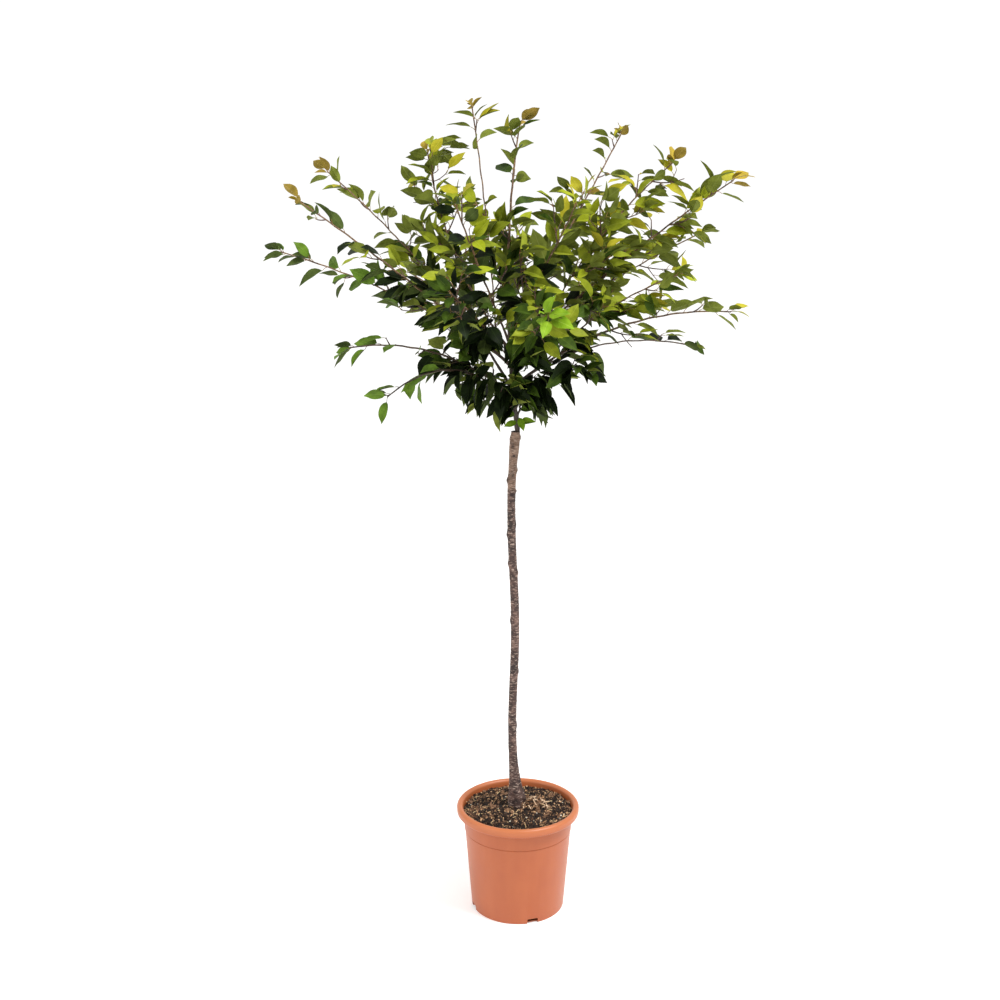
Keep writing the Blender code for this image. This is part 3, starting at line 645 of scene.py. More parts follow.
def stem_tube():
    """The whole stem. Its head has a torn edge and a dished cut, dark where it has dried."""
    bm = bmesh.new()
    scars = bm.verts.layers.float.new("scar")
    low = STEM_FOOT - STEM_BURIED
    rings = []
    for i in range(STEM_RINGS + 1):
        height = low + (HEAD_HEIGHT - low) * i / STEM_RINGS
        middle = stem_centre(height)
        rings.append([])
        for k in range(STEM_SIDES):
            turn = 2 * math.pi * k / STEM_SIDES
            relief, scar = bark_relief(height, turn)
            reach = stem_radius(height, turn) + relief
            vert = bm.verts.new(middle + Vector((math.cos(turn), math.sin(turn), 0.0)) * reach)
            vert[scars] = scar
            rings[-1].append(vert)
    for share, lift in HEAD_CUT:
        rings.append([])
        for vert in rings[-2]:
            spot = middle + (vert.co - middle).normalized() * (share * HEAD_CUT_RADIUS)
            torn = 1.0 + TORN_SHARE * noise.noise(spot * TORN_PER_M)
            rings[-1].append(bm.verts.new((spot.x, spot.y, HEAD_HEIGHT + lift * torn)))
            rings[-1][-1][scars] = 1.0
    join_rings(bm, rings)
    bm.faces.new(reversed(rings[0]))
    bm.faces.new(rings[-1])
    return bm


# %% [markdown]
# Cherry bark is smooth and tight, with lenticels that run round the stem as short paler dashes. The
# rootstock is dark reddish grey. Above the graft it is tan grey. The dashes come from noise that is
# squeezed along the height: about 2 mm high and 9 mm long on the real stem. The colour changes at
# the height of the graft, over a few millimetres.

# %% Finish of the stem
LENTICELS_PER_M = (110.0, 110.0, 520.0)
PATCHES_PER_M, FISSURES_PER_M = 55.0, 1500.0
ROOTSTOCK_TONES = [(0.32, "#281915"), (0.45, "#3a2722"), (0.57, "#513a33"), (0.70, "#755b50")]
GRAFTED_TONES = [(0.32, "#543e32"), (0.50, "#735948"), (0.68, "#917664")]
GRAFT_BLEND = 0.004
LENTICEL, CRACK, DRIED_WOOD = "#b09a8c", "#140c0a", "#240d09"
LENTICEL_FROM, LENTICEL_FULL = 0.56, 0.66
CRACK_FROM, CRACK_FULL = 0.43, 0.34
MARK_SHARE = 0.80


def stem_bark():
    made, tree, shader, place = new_finish("cherry_stem_bark", 0.72)
    squeezed = add(tree, "ShaderNodeMapping", {"Vector": place, "Scale": LENTICELS_PER_M})
    dashes = add(tree, "ShaderNodeTexNoise", {"Vector": squeezed, "Scale": 1.0, "Detail": 2.0})
    patches = add(tree, "ShaderNodeTexNoise", {"Vector": place, "Scale": PATCHES_PER_M, "Detail": 6.0})
    old_tone = add(tree, "ShaderNodeValToRGB", {"Fac": patches}, stops=ROOTSTOCK_TONES)
    new_tone = add(tree, "ShaderNodeValToRGB", {"Fac": patches}, stops=GRAFTED_TONES)
    height = add(tree, "ShaderNodeSeparateXYZ", {0: place}).outputs["Z"]
    blend = {0: height, 1: GRAFT_HEIGHT - GRAFT_BLEND, 2: GRAFT_HEIGHT + GRAFT_BLEND}
    above = add(tree, "ShaderNodeMapRange", blend)
    tone = add(tree, "ShaderNodeMix", {0: above, 6: old_tone, 7: new_tone}, data_type="RGBA")
    marks = []
    for first, full in ((LENTICEL_FROM, LENTICEL_FULL), (CRACK_FROM, CRACK_FULL)):
        limits = {0: dashes, 1: first, 2: full, 3: 0.0, 4: MARK_SHARE}
        marks.append(add(tree, "ShaderNodeMapRange", limits))
    marks.append(add(tree, "ShaderNodeAttribute", attribute_name="scar").outputs["Fac"])
    for share, code in zip(marks, (LENTICEL, CRACK, DRIED_WOOD)):
        tone = add(tree, "ShaderNodeMix", {0: share, 6: tone, 7: linear(code)}, data_type="RGBA")
    fine = add(tree, "ShaderNodeTexNoise", {"Vector": place, "Scale": FISSURES_PER_M, "Detail": 3.0})
    relief = add(tree, "ShaderNodeMath", {0: dashes, 1: fine}, operation="ADD")
    bump = add(tree, "ShaderNodeBump", {"Height": relief, "Strength": 0.7, "Distance": 0.0008})
    feed(shader, {"Base Color": tone, "Normal": bump})
    return made


place_piece(piece_from("clear_stem", stem_tube(), stem_bark(), sharp_deg=50), "cherry_bark", "trunk")

# %% [markdown]
# Now the crown. A young cherry branches by rule: limbs leave the leader one above another, each limb
# carries long shoots, and each shoot carries side twigs a golden angle apart. This table is the one
# the solids were grown from: where each limb leaves its parent, where its tip is and how it arches.


# %% The table of limbs
@dataclass
class Limb:
    """One limb and the leafy growth on it, as in the solids.

    It leaves its parent at a share of the parent's bough. Its tip is given by azimuth in degrees,
    reach from the axis and rise above the head. The arch is how far it stands above its chord. Up to
    the bough share it is bare wood, and the rest carries leaves. Vigour is how long its twigs are.
    Leafiness is how closely twigs and leaves follow each other.
    """

    name: str
    parent: str
    start: float
    azimuth: float
    reach: float
    rise: float
    arch: float
    bough: float
    vigour: float
    leafiness: float = 1.0
    curve: list = field(default_factory=list)
    radii: tuple = ()


LIMBS = [
    Limb("leader", "", 0.0, 180, 0.030, 0.665, 0.0, 0.38, 0.55, 1.2),
    # left side
    Limb("left_crest", "leader", 0.69, -104, 0.205, 0.605, -0.06, 0.16, 1.3, 1.5),
    Limb("left_top", "left_crest", 0.70, -64, 0.112, 0.695, -0.06, 0.12, 0.45, 1.3),
    Limb("left_arm", "leader", 0.56, -73, 0.475, 0.505, 0.10, 0.20, 0.50),
    Limb("left_mid", "left_arm", 0.50, -90, 0.515, 0.395, 0.14, 0.13, 0.50),
    Limb("left_high", "left_arm", 0.76, -105, 0.440, 0.565, 0.04, 0.12, 0.45, 1.2),
    Limb("left_low", "leader", 0.30, -68, 0.385, 0.205, 0.26, 0.13, 0.40),
    Limb("left_hanging", "leader", 0.24, -46, 0.375, 0.120, 0.38, 0.13, 0.45),
    # right side
    Limb("right_arm", "leader", 0.38, 78, 0.455, 0.275, 0.22, 0.20, 0.70, 0.8),
    Limb("right_low", "right_arm", 0.50, 97, 0.395, 0.185, 0.26, 0.13, 0.30, 0.7),
    Limb("right_front", "right_arm", 0.74, 61, 0.370, 0.360, 0.12, 0.12, 0.90, 1.5),
    Limb("right_crest", "leader", 0.63, 90, 0.455, 0.545, 0.10, 0.20, 0.70, 1.4),
    Limb("right_back", "right_crest", 0.50, 103, 0.410, 0.430, 0.12, 0.13, 1.0),
    Limb("right_high", "right_crest", 0.74, 75, 0.325, 0.580, 0.04, 0.13, 1.1, 1.4),
    Limb("right_top", "leader", 0.86, 120, 0.260, 0.645, 0.06, 0.12, 0.45),
    # towards the seen side
    Limb("front_arm", "leader", 0.44, 8, 0.375, 0.290, 0.24, 0.16, 1.0, 1.4),
    Limb("front_right", "leader", 0.19, 50, 0.185, 0.150, 0.40, 0.13, 0.90, 1.7),
    Limb("front_left", "front_arm", 0.70, -24, 0.340, 0.330, 0.14, 0.13, 0.90, 1.4),
    Limb("front_high", "leader", 0.75, -29, 0.270, 0.500, 0.06, 0.14, 1.0, 1.2),
    Limb("front_crest", "leader", 0.93, 42, 0.170, 0.500, 0.02, 0.12, 1.3, 0.9),
    # away from it
    Limb("back_arm", "leader", 0.50, 180, 0.430, 0.430, 0.16, 0.20, 0.90, 1.3),
    Limb("back_right", "back_arm", 0.55, 146, 0.400, 0.270, 0.20, 0.14, 0.90),
    Limb("back_high", "leader", 0.81, 152, 0.330, 0.520, 0.06, 0.14, 0.90, 1.2),
    Limb("back_left", "leader", 0.34, -142, 0.430, 0.330, 0.18, 0.20, 1.0, 0.9),
    # the short growth round the head
    Limb("low_front", "leader", 0.09, -12, 0.115, 0.135, 0.26, 0.15, 1.2, 2.0),
    Limb("low_right", "leader", 0.13, 100, 0.105, 0.115, 0.26, 0.15, 1.2, 1.1),
    Limb("low_back", "leader", 0.06, 168, 0.115, 0.095, 0.26, 0.15, 1.2, 1.5),
    Limb("low_left", "leader", 0.16, -104, 0.110, 0.120, 0.26, 0.15, 1.2),
]

# %% Lay out the limbs
LEADER_X = -0.0035
LEADER_BEND = Vector((-0.045, -0.06, 0.36))
LEADER_RADIUS = 0.0054
LIMB_SHARE, LIMB_TAPER, LIMB_SPREAD, BEND_AT = 0.84, 0.66, 0.10, 0.45
TWIGGY_RADIUS, RADIUS_PER_LENGTH = 0.0017, 0.0050
STEM_TIP_RADIUS = 0.0014


def bent(curve, share):
    """A point of the quadratic curve through the first and last of three points."""
    start, control, end = curve
    rest = 1.0 - share
    return start * rest * rest + control * 2 * share * rest + end * share * share


def pace(curve, share):
    """How fast, and in which direction, the curve runs at a share of it."""
    start, control, end = curve
    return ((control - start) * (1.0 - share) + (end - control) * share) * 2


def square_to(vector, along):
    """The part of a vector that is square to a unit vector."""
    return vector - along * vector.dot(along)


def lay_out(limbs):
    """Gives every limb its curve and its radii at both ends of its bough."""
    by_name = {}
    for limb in limbs:
        tip = around(limb.azimuth) * limb.reach
        tip.z = HEAD_HEIGHT + limb.rise
        if limb.parent:
            parent = by_name[limb.parent]
            start = bent(parent.curve, limb.start * parent.bough)
            chord = tip - start
            level = Vector((chord.x, chord.y, 0.0))
            upright = (Vector((0, 0, 1)) * level.length - level.normalized() * chord.z).normalized()
            grain = pace(parent.curve, limb.start * parent.bough).normalized()
            aside = square_to(chord, grain).normalized()
            control = start + chord * BEND_AT + (upright * limb.arch + aside * LIMB_SPREAD) * chord.length
            thick, thin = parent.radii
            widest = LIMB_SHARE * (thick + (thin - thick) * limb.start)
            base = min(widest, TWIGGY_RADIUS + RADIUS_PER_LENGTH * chord.length)
        else:
            start = Vector((LEADER_X, 0.0, HEAD_HEIGHT))
            control = start + LEADER_BEND
            base = LEADER_RADIUS
        limb.radii = (base, base * LIMB_TAPER)
        limb.curve = [start, control, tip]
        by_name[limb.name] = limb


lay_out(LIMBS)
print("limbs:", len(LIMBS))

# %% [markdown]
# Each leafy shoot keeps to its own part of the crown. A place belongs to it where its stem is nearer
# than any other stem, or at most 10 mm further away. The place also has to be clear of the bare limbs
# and at most 6 mm outside the box of the solid that the shoot stands for. Only a few places on each
# leaf and twig are tested, which is quick, but blades that lie close together still cross here and
# there, and some cross a limb or a twig. Two more rules keep the crown as open as the real one: there
# are gaps between the sprays where the sky shows through, and nothing hangs close round the cut head
# of the stem.

# %% Where the sky shows through
SKY_GAPS = [
    # x, height and radius where the line of sight from the camera crosses the stem's plane
    (-0.51, 1.62, 0.030), (-0.43, 1.58, 0.034), (-0.36, 1.63, 0.024), (-0.33, 1.72, 0.042),
    (-0.37, 1.40, 0.040), (-0.30, 1.40, 0.032), (-0.24, 1.36, 0.028), (-0.33, 1.28, 0.028),
    (-0.27, 1.29, 0.032), (-0.20, 1.24, 0.016), (-0.16, 1.22, 0.018), (-0.17, 1.27, 0.014),
    (-0.13, 1.60, 0.018), (-0.09, 1.73, 0.028), (-0.08, 1.68, 0.018), (-0.07, 1.47, 0.017),
    (-0.01, 1.67, 0.020), (0.04, 1.73, 0.034), (0.25, 1.75, 0.040), (0.31, 1.61, 0.020),
    (0.36, 1.72, 0.020), (0.42, 1.63, 0.030), (0.41, 1.53, 0.034), (0.40, 1.39, 0.028),
    (0.34, 1.40, 0.022), (0.25, 1.47, 0.020), (0.28, 1.33, 0.024), (0.20, 1.34, 0.020),
    (0.15, 1.39, 0.012), (0.23, 1.30, 0.040), (0.14, 1.25, 0.024), (0.08, 1.24, 0.014),
    (0.02, 1.18, 0.020), (-0.01, 1.17, 0.024),
]


# %% Distances from straight pieces of stems
def limb_path(limb, first, last, steps):
    """Points along a limb's curve, from one share of it to another."""
    return [bent(limb.curve, first + (last - first) * i / steps) for i in range(steps + 1)]


def straight_pieces(paths):
    """The ends of every straight piece of the paths, as two arrays, and which path each is of."""
    pieces = [(a[:], b[:], index) for index, path in enumerate(paths) for a, b in zip(path, path[1:])]
    return [np.array(column) for column in zip(*pieces)]


def distances(points, first, last):
    """How far each of some points is from each straight piece, as a table."""
    points = np.array(points)[:, None, :]
    along = last - first
    share = ((points - first) * along).sum(2) / (along * along).sum(1)
    nearest = first + along * np.clip(share, 0.0, 1.0)[:, :, None]
    return np.linalg.norm(points - nearest, axis=2)


# %% The room that each shoot has
NEIGHBOUR_MARGIN = -0.010
LIMB_MARGIN = 0.003
BOX_MARGIN = 0.006
HEAD_CLEAR_RADIUS, HEAD_CLEAR_HEIGHT = 0.060, 1.182


class Room:
    """Tells whether points lie in a shoot's own part of the crown."""

    def __init__(self, limbs):
        self.stems = straight_pieces([limb_path(limb, limb.bough, 1.0, steps=5) for limb in limbs])
        self.boughs = straight_pieces([limb_path(limb, 0.0, limb.bough, steps=4) for limb in limbs])
        self.bough_radii = np.array([limbs[i].radii[0] for i in self.boughs[2]])
        self.boxes = [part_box(f"foliage_{limb.name}") for limb in limbs]
        self.gaps = np.array(SKY_GAPS)

    def open_to_sky(self, points):
        """Whether the camera sees a point in one of the gaps."""
        seen = points - np.array(CAMERA_PLACE)
        crossing = np.array(CAMERA_PLACE) + seen * (-CAMERA_PLACE[1] / seen[:, 1])[:, None]
        away = crossing[:, None, [0, 2]] - self.gaps[None, :, :2]
        return (np.linalg.norm(away, axis=2) < self.gaps[:, 2]).any()

    def holds(self, index, points):
        """Whether the points lie in the part of the shoot with that index."""
        low, high = self.boxes[index]
        array = np.array(points)
        if (array < np.array(low) - BOX_MARGIN).any() or (array > np.array(high) + BOX_MARGIN).any():
            return False
        low_down = array[:, 2] < HEAD_CLEAR_HEIGHT
        if (low_down & (np.hypot(array[:, 0], array[:, 1]) < HEAD_CLEAR_RADIUS)).any():
            return False
        if self.open_to_sky(array):
            return False
        first, last, owner = self.stems
        found = distances(points, first, last)
        if (found[:, owner == index].min(1) + NEIGHBOUR_MARGIN > found[:, owner != index].min(1)).any():
            return False
        first, last, _ = self.boughs
        return not (distances(points, first, last) < self.bough_radii + LIMB_MARGIN).any()


ROOM = Room(LIMBS)

# %% [markdown]
# The growing rule. A stem carries side twigs, a golden angle apart and shorter towards its tip. The
# solids stop there. Here each side twig that is long enough carries finer twigs of its own, and old
# wood carries short spurs with a bunch of leaves, as cherries have. Everything random comes from one
# seeded die for each shoot.

# %% Paths and twigs
SEED = 10
GOLDEN_ANGLE = math.radians(137.5)
PATH_STEPS = 10
LONG_SHOOT, CLOSEST = 0.30, 0.5
TWIG_SPACING, TWIG_LENGTH = 0.075, 0.105
TWIG_ANGLE_DEG, TWIG_SCATTER_DEG, TWIG_LIFT = 48.0, 8, 0.15
TWIG_RADII, FINE_RADII, SPUR_RADII = (0.00180, 0.00100), (0.00120, 0.00080), (0.0016, 0.0016)
FINE_FROM, FINE_SPACING, FINE_LENGTH = 0.045, 0.036, 0.040
SPUR_SPACING, SPUR_LENGTH, SPUR_WOOD = 0.050, 0.012, 0.45
UNEVEN_SPACING, UNEVEN_LENGTH, UNEVEN_SAG = (0.85, 1.15), (0.75, 1.2), (0.02, 0.08)
LAST_TWIG, TWIG_PROBES = 0.4, (0.4, 0.7, 1.0)


@dataclass
class Spray:
    """A woody path with leaves on it. The rank says what it is: shoot, twig, fine or spur."""

    rank: str
    path: list
    radii: tuple
    limb: int


def path_at(points, distance):
    """The place and direction at a distance along a path."""
    for a, b in zip(points, points[1:]):
        step = (b - a).length
        if distance <= step:
            return a.lerp(b, distance / step), (b - a).normalized()
        distance -= step
    return points[-1], (points[-1] - points[-2]).normalized()


def path_length(points):
    return sum((b - a).length for a, b in zip(points, points[1:]))


def crowding(length):
    """Short shoots carry their twigs and leaves closer together than long ones."""
    return min(1.0, max(CLOSEST, length / LONG_SHOOT))


def side_of(along, turn):
    """A unit vector across a direction, turned about it."""
    return Matrix.Rotation(turn, 3, along) @ along.orthogonal().normalized()


def curved_twig(place, tip, sag, steps=4):
    """A path from place to tip that sags a little in its middle."""
    path = [place.lerp(tip, i / steps) for i in range(steps + 1)]
    for i, spot in enumerate(path):
        share = i / steps
        spot.z -= sag * 4 * share * (1 - share)
    return path


# %% Rules for twigs
def twigs_on(index, rank, path, spacing, length, radii, dice, first=0.35, taper=0.55):
    """Twigs along a path, those that stay in the shoot's room."""
    whole = path_length(path)
    distance = first * spacing
    turn = dice.uniform(0, 2 * math.pi)
    found = []
    while distance < whole - LAST_TWIG * spacing:
        place, along = path_at(path, distance)
        out = side_of(along, turn)
        angle = math.radians(TWIG_ANGLE_DEG + dice.uniform(-TWIG_SCATTER_DEG, TWIG_SCATTER_DEG))
        ahead = (along * math.cos(angle) + out * math.sin(angle)).normalized()
        reach = length * (1.0 - taper * distance / whole) * dice.uniform(*UNEVEN_LENGTH)
        tip = place + (ahead + Vector((0, 0, TWIG_LIFT))).normalized() * reach
        sag = reach * dice.uniform(*UNEVEN_SAG)
        if ROOM.holds(index, [place.lerp(tip, share) for share in TWIG_PROBES]):
            found.append(Spray(rank, curved_twig(place, tip, sag), radii, index))
        turn += GOLDEN_ANGLE
        distance += spacing * dice.uniform(*UNEVEN_SPACING)
    return found


def sprays_of(index, limb, dice):
    """Every leafy path of one shoot: its stem, its twigs, their finer twigs and the spurs."""
    stem = limb_path(limb, limb.bough, 1.0, PATH_STEPS)
    spacing = TWIG_SPACING * (crowding(path_length(stem)) / limb.leafiness)
    twigs = twigs_on(index, "twig", stem, spacing, limb.vigour * TWIG_LENGTH, TWIG_RADII, dice)
    made = [Spray("shoot", stem, (), index), *twigs]
    for twig in twigs:
        if path_length(twig.path) > FINE_FROM:
            rule = (FINE_SPACING / limb.leafiness, FINE_LENGTH, FINE_RADII, dice)
            made += twigs_on(index, "fine", twig.path, *rule, first=0.6, taper=0.3)
    old_end = limb.bough + (1 - limb.bough) * SPUR_WOOD
    old = limb_path(limb, limb.bough * SPUR_WOOD, old_end, PATH_STEPS)
    rule = (SPUR_SPACING / limb.leafiness, SPUR_LENGTH, SPUR_RADII, dice)
    return made + twigs_on(index, "spur", old, *rule, first=0.5, taper=0.0)


# %% [markdown]
# How leaves sit: on long shoots they point ahead, their faces to the sky and a little outwards. On
# shoots that run level they droop a very little more. Low down and close to the stem they are larger,
# folded and hang. Towards the end of a shoot they get smaller, and at its very tip there is a tuft of
# young ones that don't droop at all.

# %% How leaves hang
LEAF_LENGTH, LEAF_WIDTH_SHARE = 0.060, 0.50
LEAF_ANGLE_DEG, LEAF_SCATTER_DEG = 44.0, 14
HANGING_DEPTH, HANGING_REACH, HANGING_CORE = 0.40, 0.20, 0.07
LEAST_HANG, MOST_HANG, LEVEL_HANG, YOUNG_HANG, STALK_HANG = 0.05, 1.5, 0.08, 0.0, 0.35
UNEVEN_HANG, EDGE_ON = (0.5, 1.5), 0.2
FACE_SCATTER, OUTWARD_FACE, LEVELLING = 0.72, 0.75, 0.55
PROBE_SHARES, WIDEST_AT = (0.12, 0.35, 0.6, 0.82, 1.0), 0.42
DOWN = Vector((0, 0, -1))


def hanging_at(place):
    """How much leaves hang at a place, from 0 high up or far out to 1 low down and close in."""
    deep = 1.0 - (place.z - HEAD_HEIGHT) / HANGING_DEPTH
    close = 1.0 - (math.hypot(place.x, place.y) - HANGING_CORE) / HANGING_REACH
    return min(1.0, max(0.0, deep)) * min(1.0, max(0.0, close))


def leaf_pose(place, along, turn, at_tip, dice):
    """Which way the stalk leaves the twig, which way the blade points and where its face looks."""
    out = side_of(along, turn)
    spread = math.radians(LEAF_ANGLE_DEG + dice.uniform(-LEAF_SCATTER_DEG, LEAF_SCATTER_DEG))
    stalk = along * math.cos(spread) + out * math.sin(spread)
    hang = LEAST_HANG + (MOST_HANG - LEAST_HANG) * hanging_at(place) + LEVEL_HANG * (1.0 - abs(along.z))
    hang *= dice.uniform(*UNEVEN_HANG) * (YOUNG_HANG if at_tip else 1.0)
    ahead = (Vector((stalk.x, stalk.y, stalk.z * LEVELLING)) + DOWN * hang).normalized()
    stalk = (stalk + DOWN * hang * STALK_HANG).normalized()
    outward = Vector((place.x, place.y, 0.0)).normalized()
    scatter = Vector((dice.gauss(0, FACE_SCATTER), dice.gauss(0, FACE_SCATTER), 1.0))
    light = outward * OUTWARD_FACE + scatter
    normal = square_to(light, ahead)
    if normal.length < EDGE_ON:
        normal = square_to(out, ahead)
    return stalk, ahead, normal.normalized()


def leaf_probes(root, ahead, normal, length):
    """Places along and across the blade, where its room and its distance to others are tested."""
    across = ahead.cross(normal) * length * LEAF_WIDTH_SHARE / 2
    middle = root + ahead * length * WIDEST_AT
    return [root + ahead * length * share for share in PROBE_SHARES] + [middle + across, middle - across]


# %% Where leaves sit
LEAF_SPACING = 0.029
YOUNG_LENGTH, SMALLEST, GROWTH = 0.12, 0.80, 0.22
SPUR_LEAVES, SPUR_FIRST, SPUR_NEXT = 4, 0.45, 0.18
TIP_SIZES, TIP_STEP, TIP_TURN = (0.76, 0.82, 0.46, 0.62), 0.003, 2.1
UNEVEN_SPUR, UNEVEN_SIZE, UNEVEN_TIP = (0.85, 1.1), (0.82, 1.16), (0.9, 1.1)
FIRST_ON_SHOOT, FIRST_ON_TWIG, LAST_LEAF = 0.25, 0.7, 0.3


def leaf_spots(spray, leafiness, dice):
    """Where leaves sit on a spray: the place, the direction, the turn, the size, and if at the tip."""
    length = path_length(spray.path)
    on_shoot = spray.rank == "shoot"
    turn = dice.uniform(0, 2 * math.pi)
    if spray.rank == "spur":
        for k in range(SPUR_LEAVES):
            place, along = path_at(spray.path, length * (SPUR_FIRST + SPUR_NEXT * k))
            yield place, along, turn, dice.uniform(*UNEVEN_SPUR), False
            turn += GOLDEN_ANGLE
        return
    spacing = LEAF_SPACING * (crowding(length) if on_shoot else 1.0) / leafiness
    distance = (FIRST_ON_SHOOT if on_shoot else FIRST_ON_TWIG) * spacing
    while distance < length - LAST_LEAF * spacing:
        place, along = path_at(spray.path, distance)
        age = min(1.0, (length - distance) / YOUNG_LENGTH)
        yield place, along, turn, (SMALLEST + GROWTH * age) * dice.uniform(*UNEVEN_SIZE), False
        turn += GOLDEN_ANGLE
        distance += spacing * dice.uniform(*UNEVEN_SPACING)
    place, along = path_at(spray.path, length)
    for k, size in enumerate(TIP_SIZES if on_shoot else TIP_SIZES[:2]):
        size *= dice.uniform(*UNEVEN_TIP)
        yield place - along * TIP_STEP * k, along, turn + TIP_TURN * k, size, True


# %% [markdown]
# Colour goes by spray, by how old a spray is and by how much light reaches it. Deep in the crown and
# low down the leaves are bottle green. Further up they are olive, then yellow green, most of all on
# the sunny right. Part of that is the leaves' own colour and part is painted light and shade: painted
# shade deep inside, low down and on the side towards the viewer, painted light high up, far out, on
# the right and at the back. The outer ends of three shoots on the left grew in shade and are a fresh
# mid green. The tufts at the top are bronze, and the end of the arm that reaches towards the viewer
# is lime green. Elsewhere the leaves at a tip are one class lighter than their spray.

# %% Colour classes
TONES = ["deep", "green", "olive", "sunlit", "golden"]
TONE_LIMITS = [0.33, 0.50, 0.66, 0.86]
TONE_SCATTER = 0.10
CROWN_HEIGHT, CROWN_REACH = 0.70, 0.50
HIGH_LIGHT, OUTER_LIGHT, DEEP_SHADE = 0.85, 0.24, 0.36
RIGHT_LIGHT, BACK_LIGHT = 0.25, 0.20
FRESH_LIMBS, FRESH_FROM, FRESH_TONES = {"left_low", "left_hanging", "left_mid"}, 0.22, 3
BRONZE_TIPS = {"left_arm", "left_high", "left_top", "left_crest", "leader", "right_top", "right_crest"}
BRONZE_TIPS |= {"right_high", "back_high"}
LIME_LIMB, LIME_REACH = "front_arm", 0.030


# painted light and shade: this picks a spray's colour class, so the classes are lit and shaded tones of the
# leaf green, lighter high up, far out, on the right and at the back, darker low down at the core and on the
# side towards the viewer
def light_at(spot):
    """How sunny a place is: most so high up and out on the right, least so low down at the core."""
    up = (spot.z - HEAD_HEIGHT) / CROWN_HEIGHT
    out = math.hypot(spot.x, spot.y) / CROWN_REACH
    side = (RIGHT_LIGHT * spot.x + BACK_LIGHT * spot.y) / CROWN_REACH
    return HIGH_LIGHT * up + OUTER_LIGHT * out + side - DEEP_SHADE * hanging_at(spot)


def shade_of(spray, limb, place, at_tip, tone):
    """The colour class of a leaf, from its spray's tone and from where on the spray it sits."""
    if at_tip and spray.rank == "shoot" and limb.name in BRONZE_TIPS:
        return "bronze"
    if limb.name == LIME_LIMB and (place - limb.curve[-1]).length < LIME_REACH:
        return "lime"
    if limb.name in FRESH_LIMBS and tone < FRESH_TONES and math.hypot(place.x, place.y) > FRESH_FROM:
        return "fresh"
    return TONES[min(len(TONES) - 1, tone + at_tip)]


# %% Leaves that find room
LEAF_TRIES, NEXT_TRY = 8, 1.3
STALK_LENGTH, STALK_ARCH = 0.013, 0.0012
LEAF_GAP = 0.0042
HANGING_GROWTH, LIMP_FROM, SMALL_TIP = 0.26, 0.3, 0.5
FIRM_FORMS, LIMP_FORMS, BUD_FORM = (0, 1, 2, 3), (1, 3, 3, 4), 4


@dataclass
class Leaf:
    """A leaf: where its blade starts, its pose, its length, its colour class and its stalk's path."""

    root: Vector
    ahead: Vector
    normal: Vector
    length: float
    shade: str
    form: int
    stalk: list


def crowded(probes, taken):
    """Whether a leaf's places come too near to those of leaves that are already there."""
    if not taken:
        return False
    return (np.linalg.norm(np.concatenate(taken)[:, None] - probes, axis=2) < LEAF_GAP).any()


def leaves_on(spray, limb, tone, dice, taken):
    """The leaves of one spray that find room."""
    found = []
    for place, along, turn, size, at_tip in leaf_spots(spray, limb.leafiness, dice):
        hanging = hanging_at(place)
        length = LEAF_LENGTH * size * (1.0 + HANGING_GROWTH * hanging)
        for attempt in range(LEAF_TRIES):
            stalk, ahead, normal = leaf_pose(place, along, turn + attempt * NEXT_TRY, at_tip, dice)
            root = place + stalk * STALK_LENGTH * min(1.0, size)
            probes = np.array(leaf_probes(root, ahead, normal, length))
            if not ROOM.holds(spray.limb, probes) or crowded(probes, taken):
                continue
            taken.append(probes)
            shade = shade_of(spray, limb, place, at_tip, tone)
            bend = place.lerp(root, 0.5) + Vector((0, 0, STALK_ARCH))
            forms = LIMP_FORMS if hanging > LIMP_FROM else FIRM_FORMS
            form = BUD_FORM if at_tip and size < SMALL_TIP else dice.choice(forms)
            found.append(Leaf(root, ahead, normal, length, shade, form, [place, bend, root]))
            break
    return found


# %% Grow the crown
def grow_crown():
    """Every spray and every leaf of the limbs in the table."""
    sprays, leaves, taken = [], [], []
    for index, limb in enumerate(LIMBS):
        dice = random.Random(SEED * 1000 + index)
        for spray in sprays_of(index, limb, dice):
            light = light_at(spray.path[len(spray.path) // 2]) + dice.gauss(0, TONE_SCATTER)
            found = leaves_on(spray, limb, sum(light > limit for limit in TONE_LIMITS), dice, taken)
            leaves += found
            if spray.rank != "spur" or found:
                sprays.append(spray)
    return sprays, leaves


# %% [markdown]
# Where a stem has been cut, dormant buds wake. A short new shoot stands in front of the leader, right
# above the cut head, with a tuft of soft leaves in lime and fresh green. It isn't one of the limbs of
# the table, so it is listed here: where each of its leaves starts and ends.

# %% The tuft above the cut head
HEAD_SHOOT = [(0.0005, -0.0035, 1.154), (0.0005, -0.0095, 1.160), (-0.001, -0.014, 1.172)]
HEAD_SHOOT += [(-0.002, -0.017, 1.186), (-0.003, -0.019, 1.198)]
HEAD_SHOOT_RADII = (0.0014, 0.0009)
HEAD_FACING = Vector((0.0, -0.75, 0.65))
HEAD_LEAVES = [
    # which point of the shoot, the places of the blade's root and tip, the form and the colour class
    (2, (0.003, -0.018, 1.176), (0.034, -0.040, 1.184), 1, "lime"),
    (3, (0.000, -0.022, 1.186), (0.010, -0.040, 1.160), 0, "lime"),
    (2, (-0.006, -0.018, 1.176), (-0.034, -0.034, 1.170), 0, "lime"),
    (3, (-0.010, -0.020, 1.192), (-0.056, -0.030, 1.206), 2, "fresh"),
    (4, (0.003, -0.022, 1.204), (0.036, -0.038, 1.212), 1, "fresh"),
]


def head_tuft():
    """The short shoot in front of the leader, and its leaves."""
    path = [Vector(point) for point in HEAD_SHOOT]
    found = []
    for at, root, tip, form, shade in HEAD_LEAVES:
        root = Vector(root)
        way = Vector(tip) - root
        ahead = way.normalized()
        normal = square_to(HEAD_FACING, ahead).normalized()
        stalk = [path[at], path[at].lerp(root, 0.5), root]
        found.append(Leaf(root, ahead, normal, way.length, shade, form, stalk))
    return Spray("twig", path, HEAD_SHOOT_RADII, 0), found


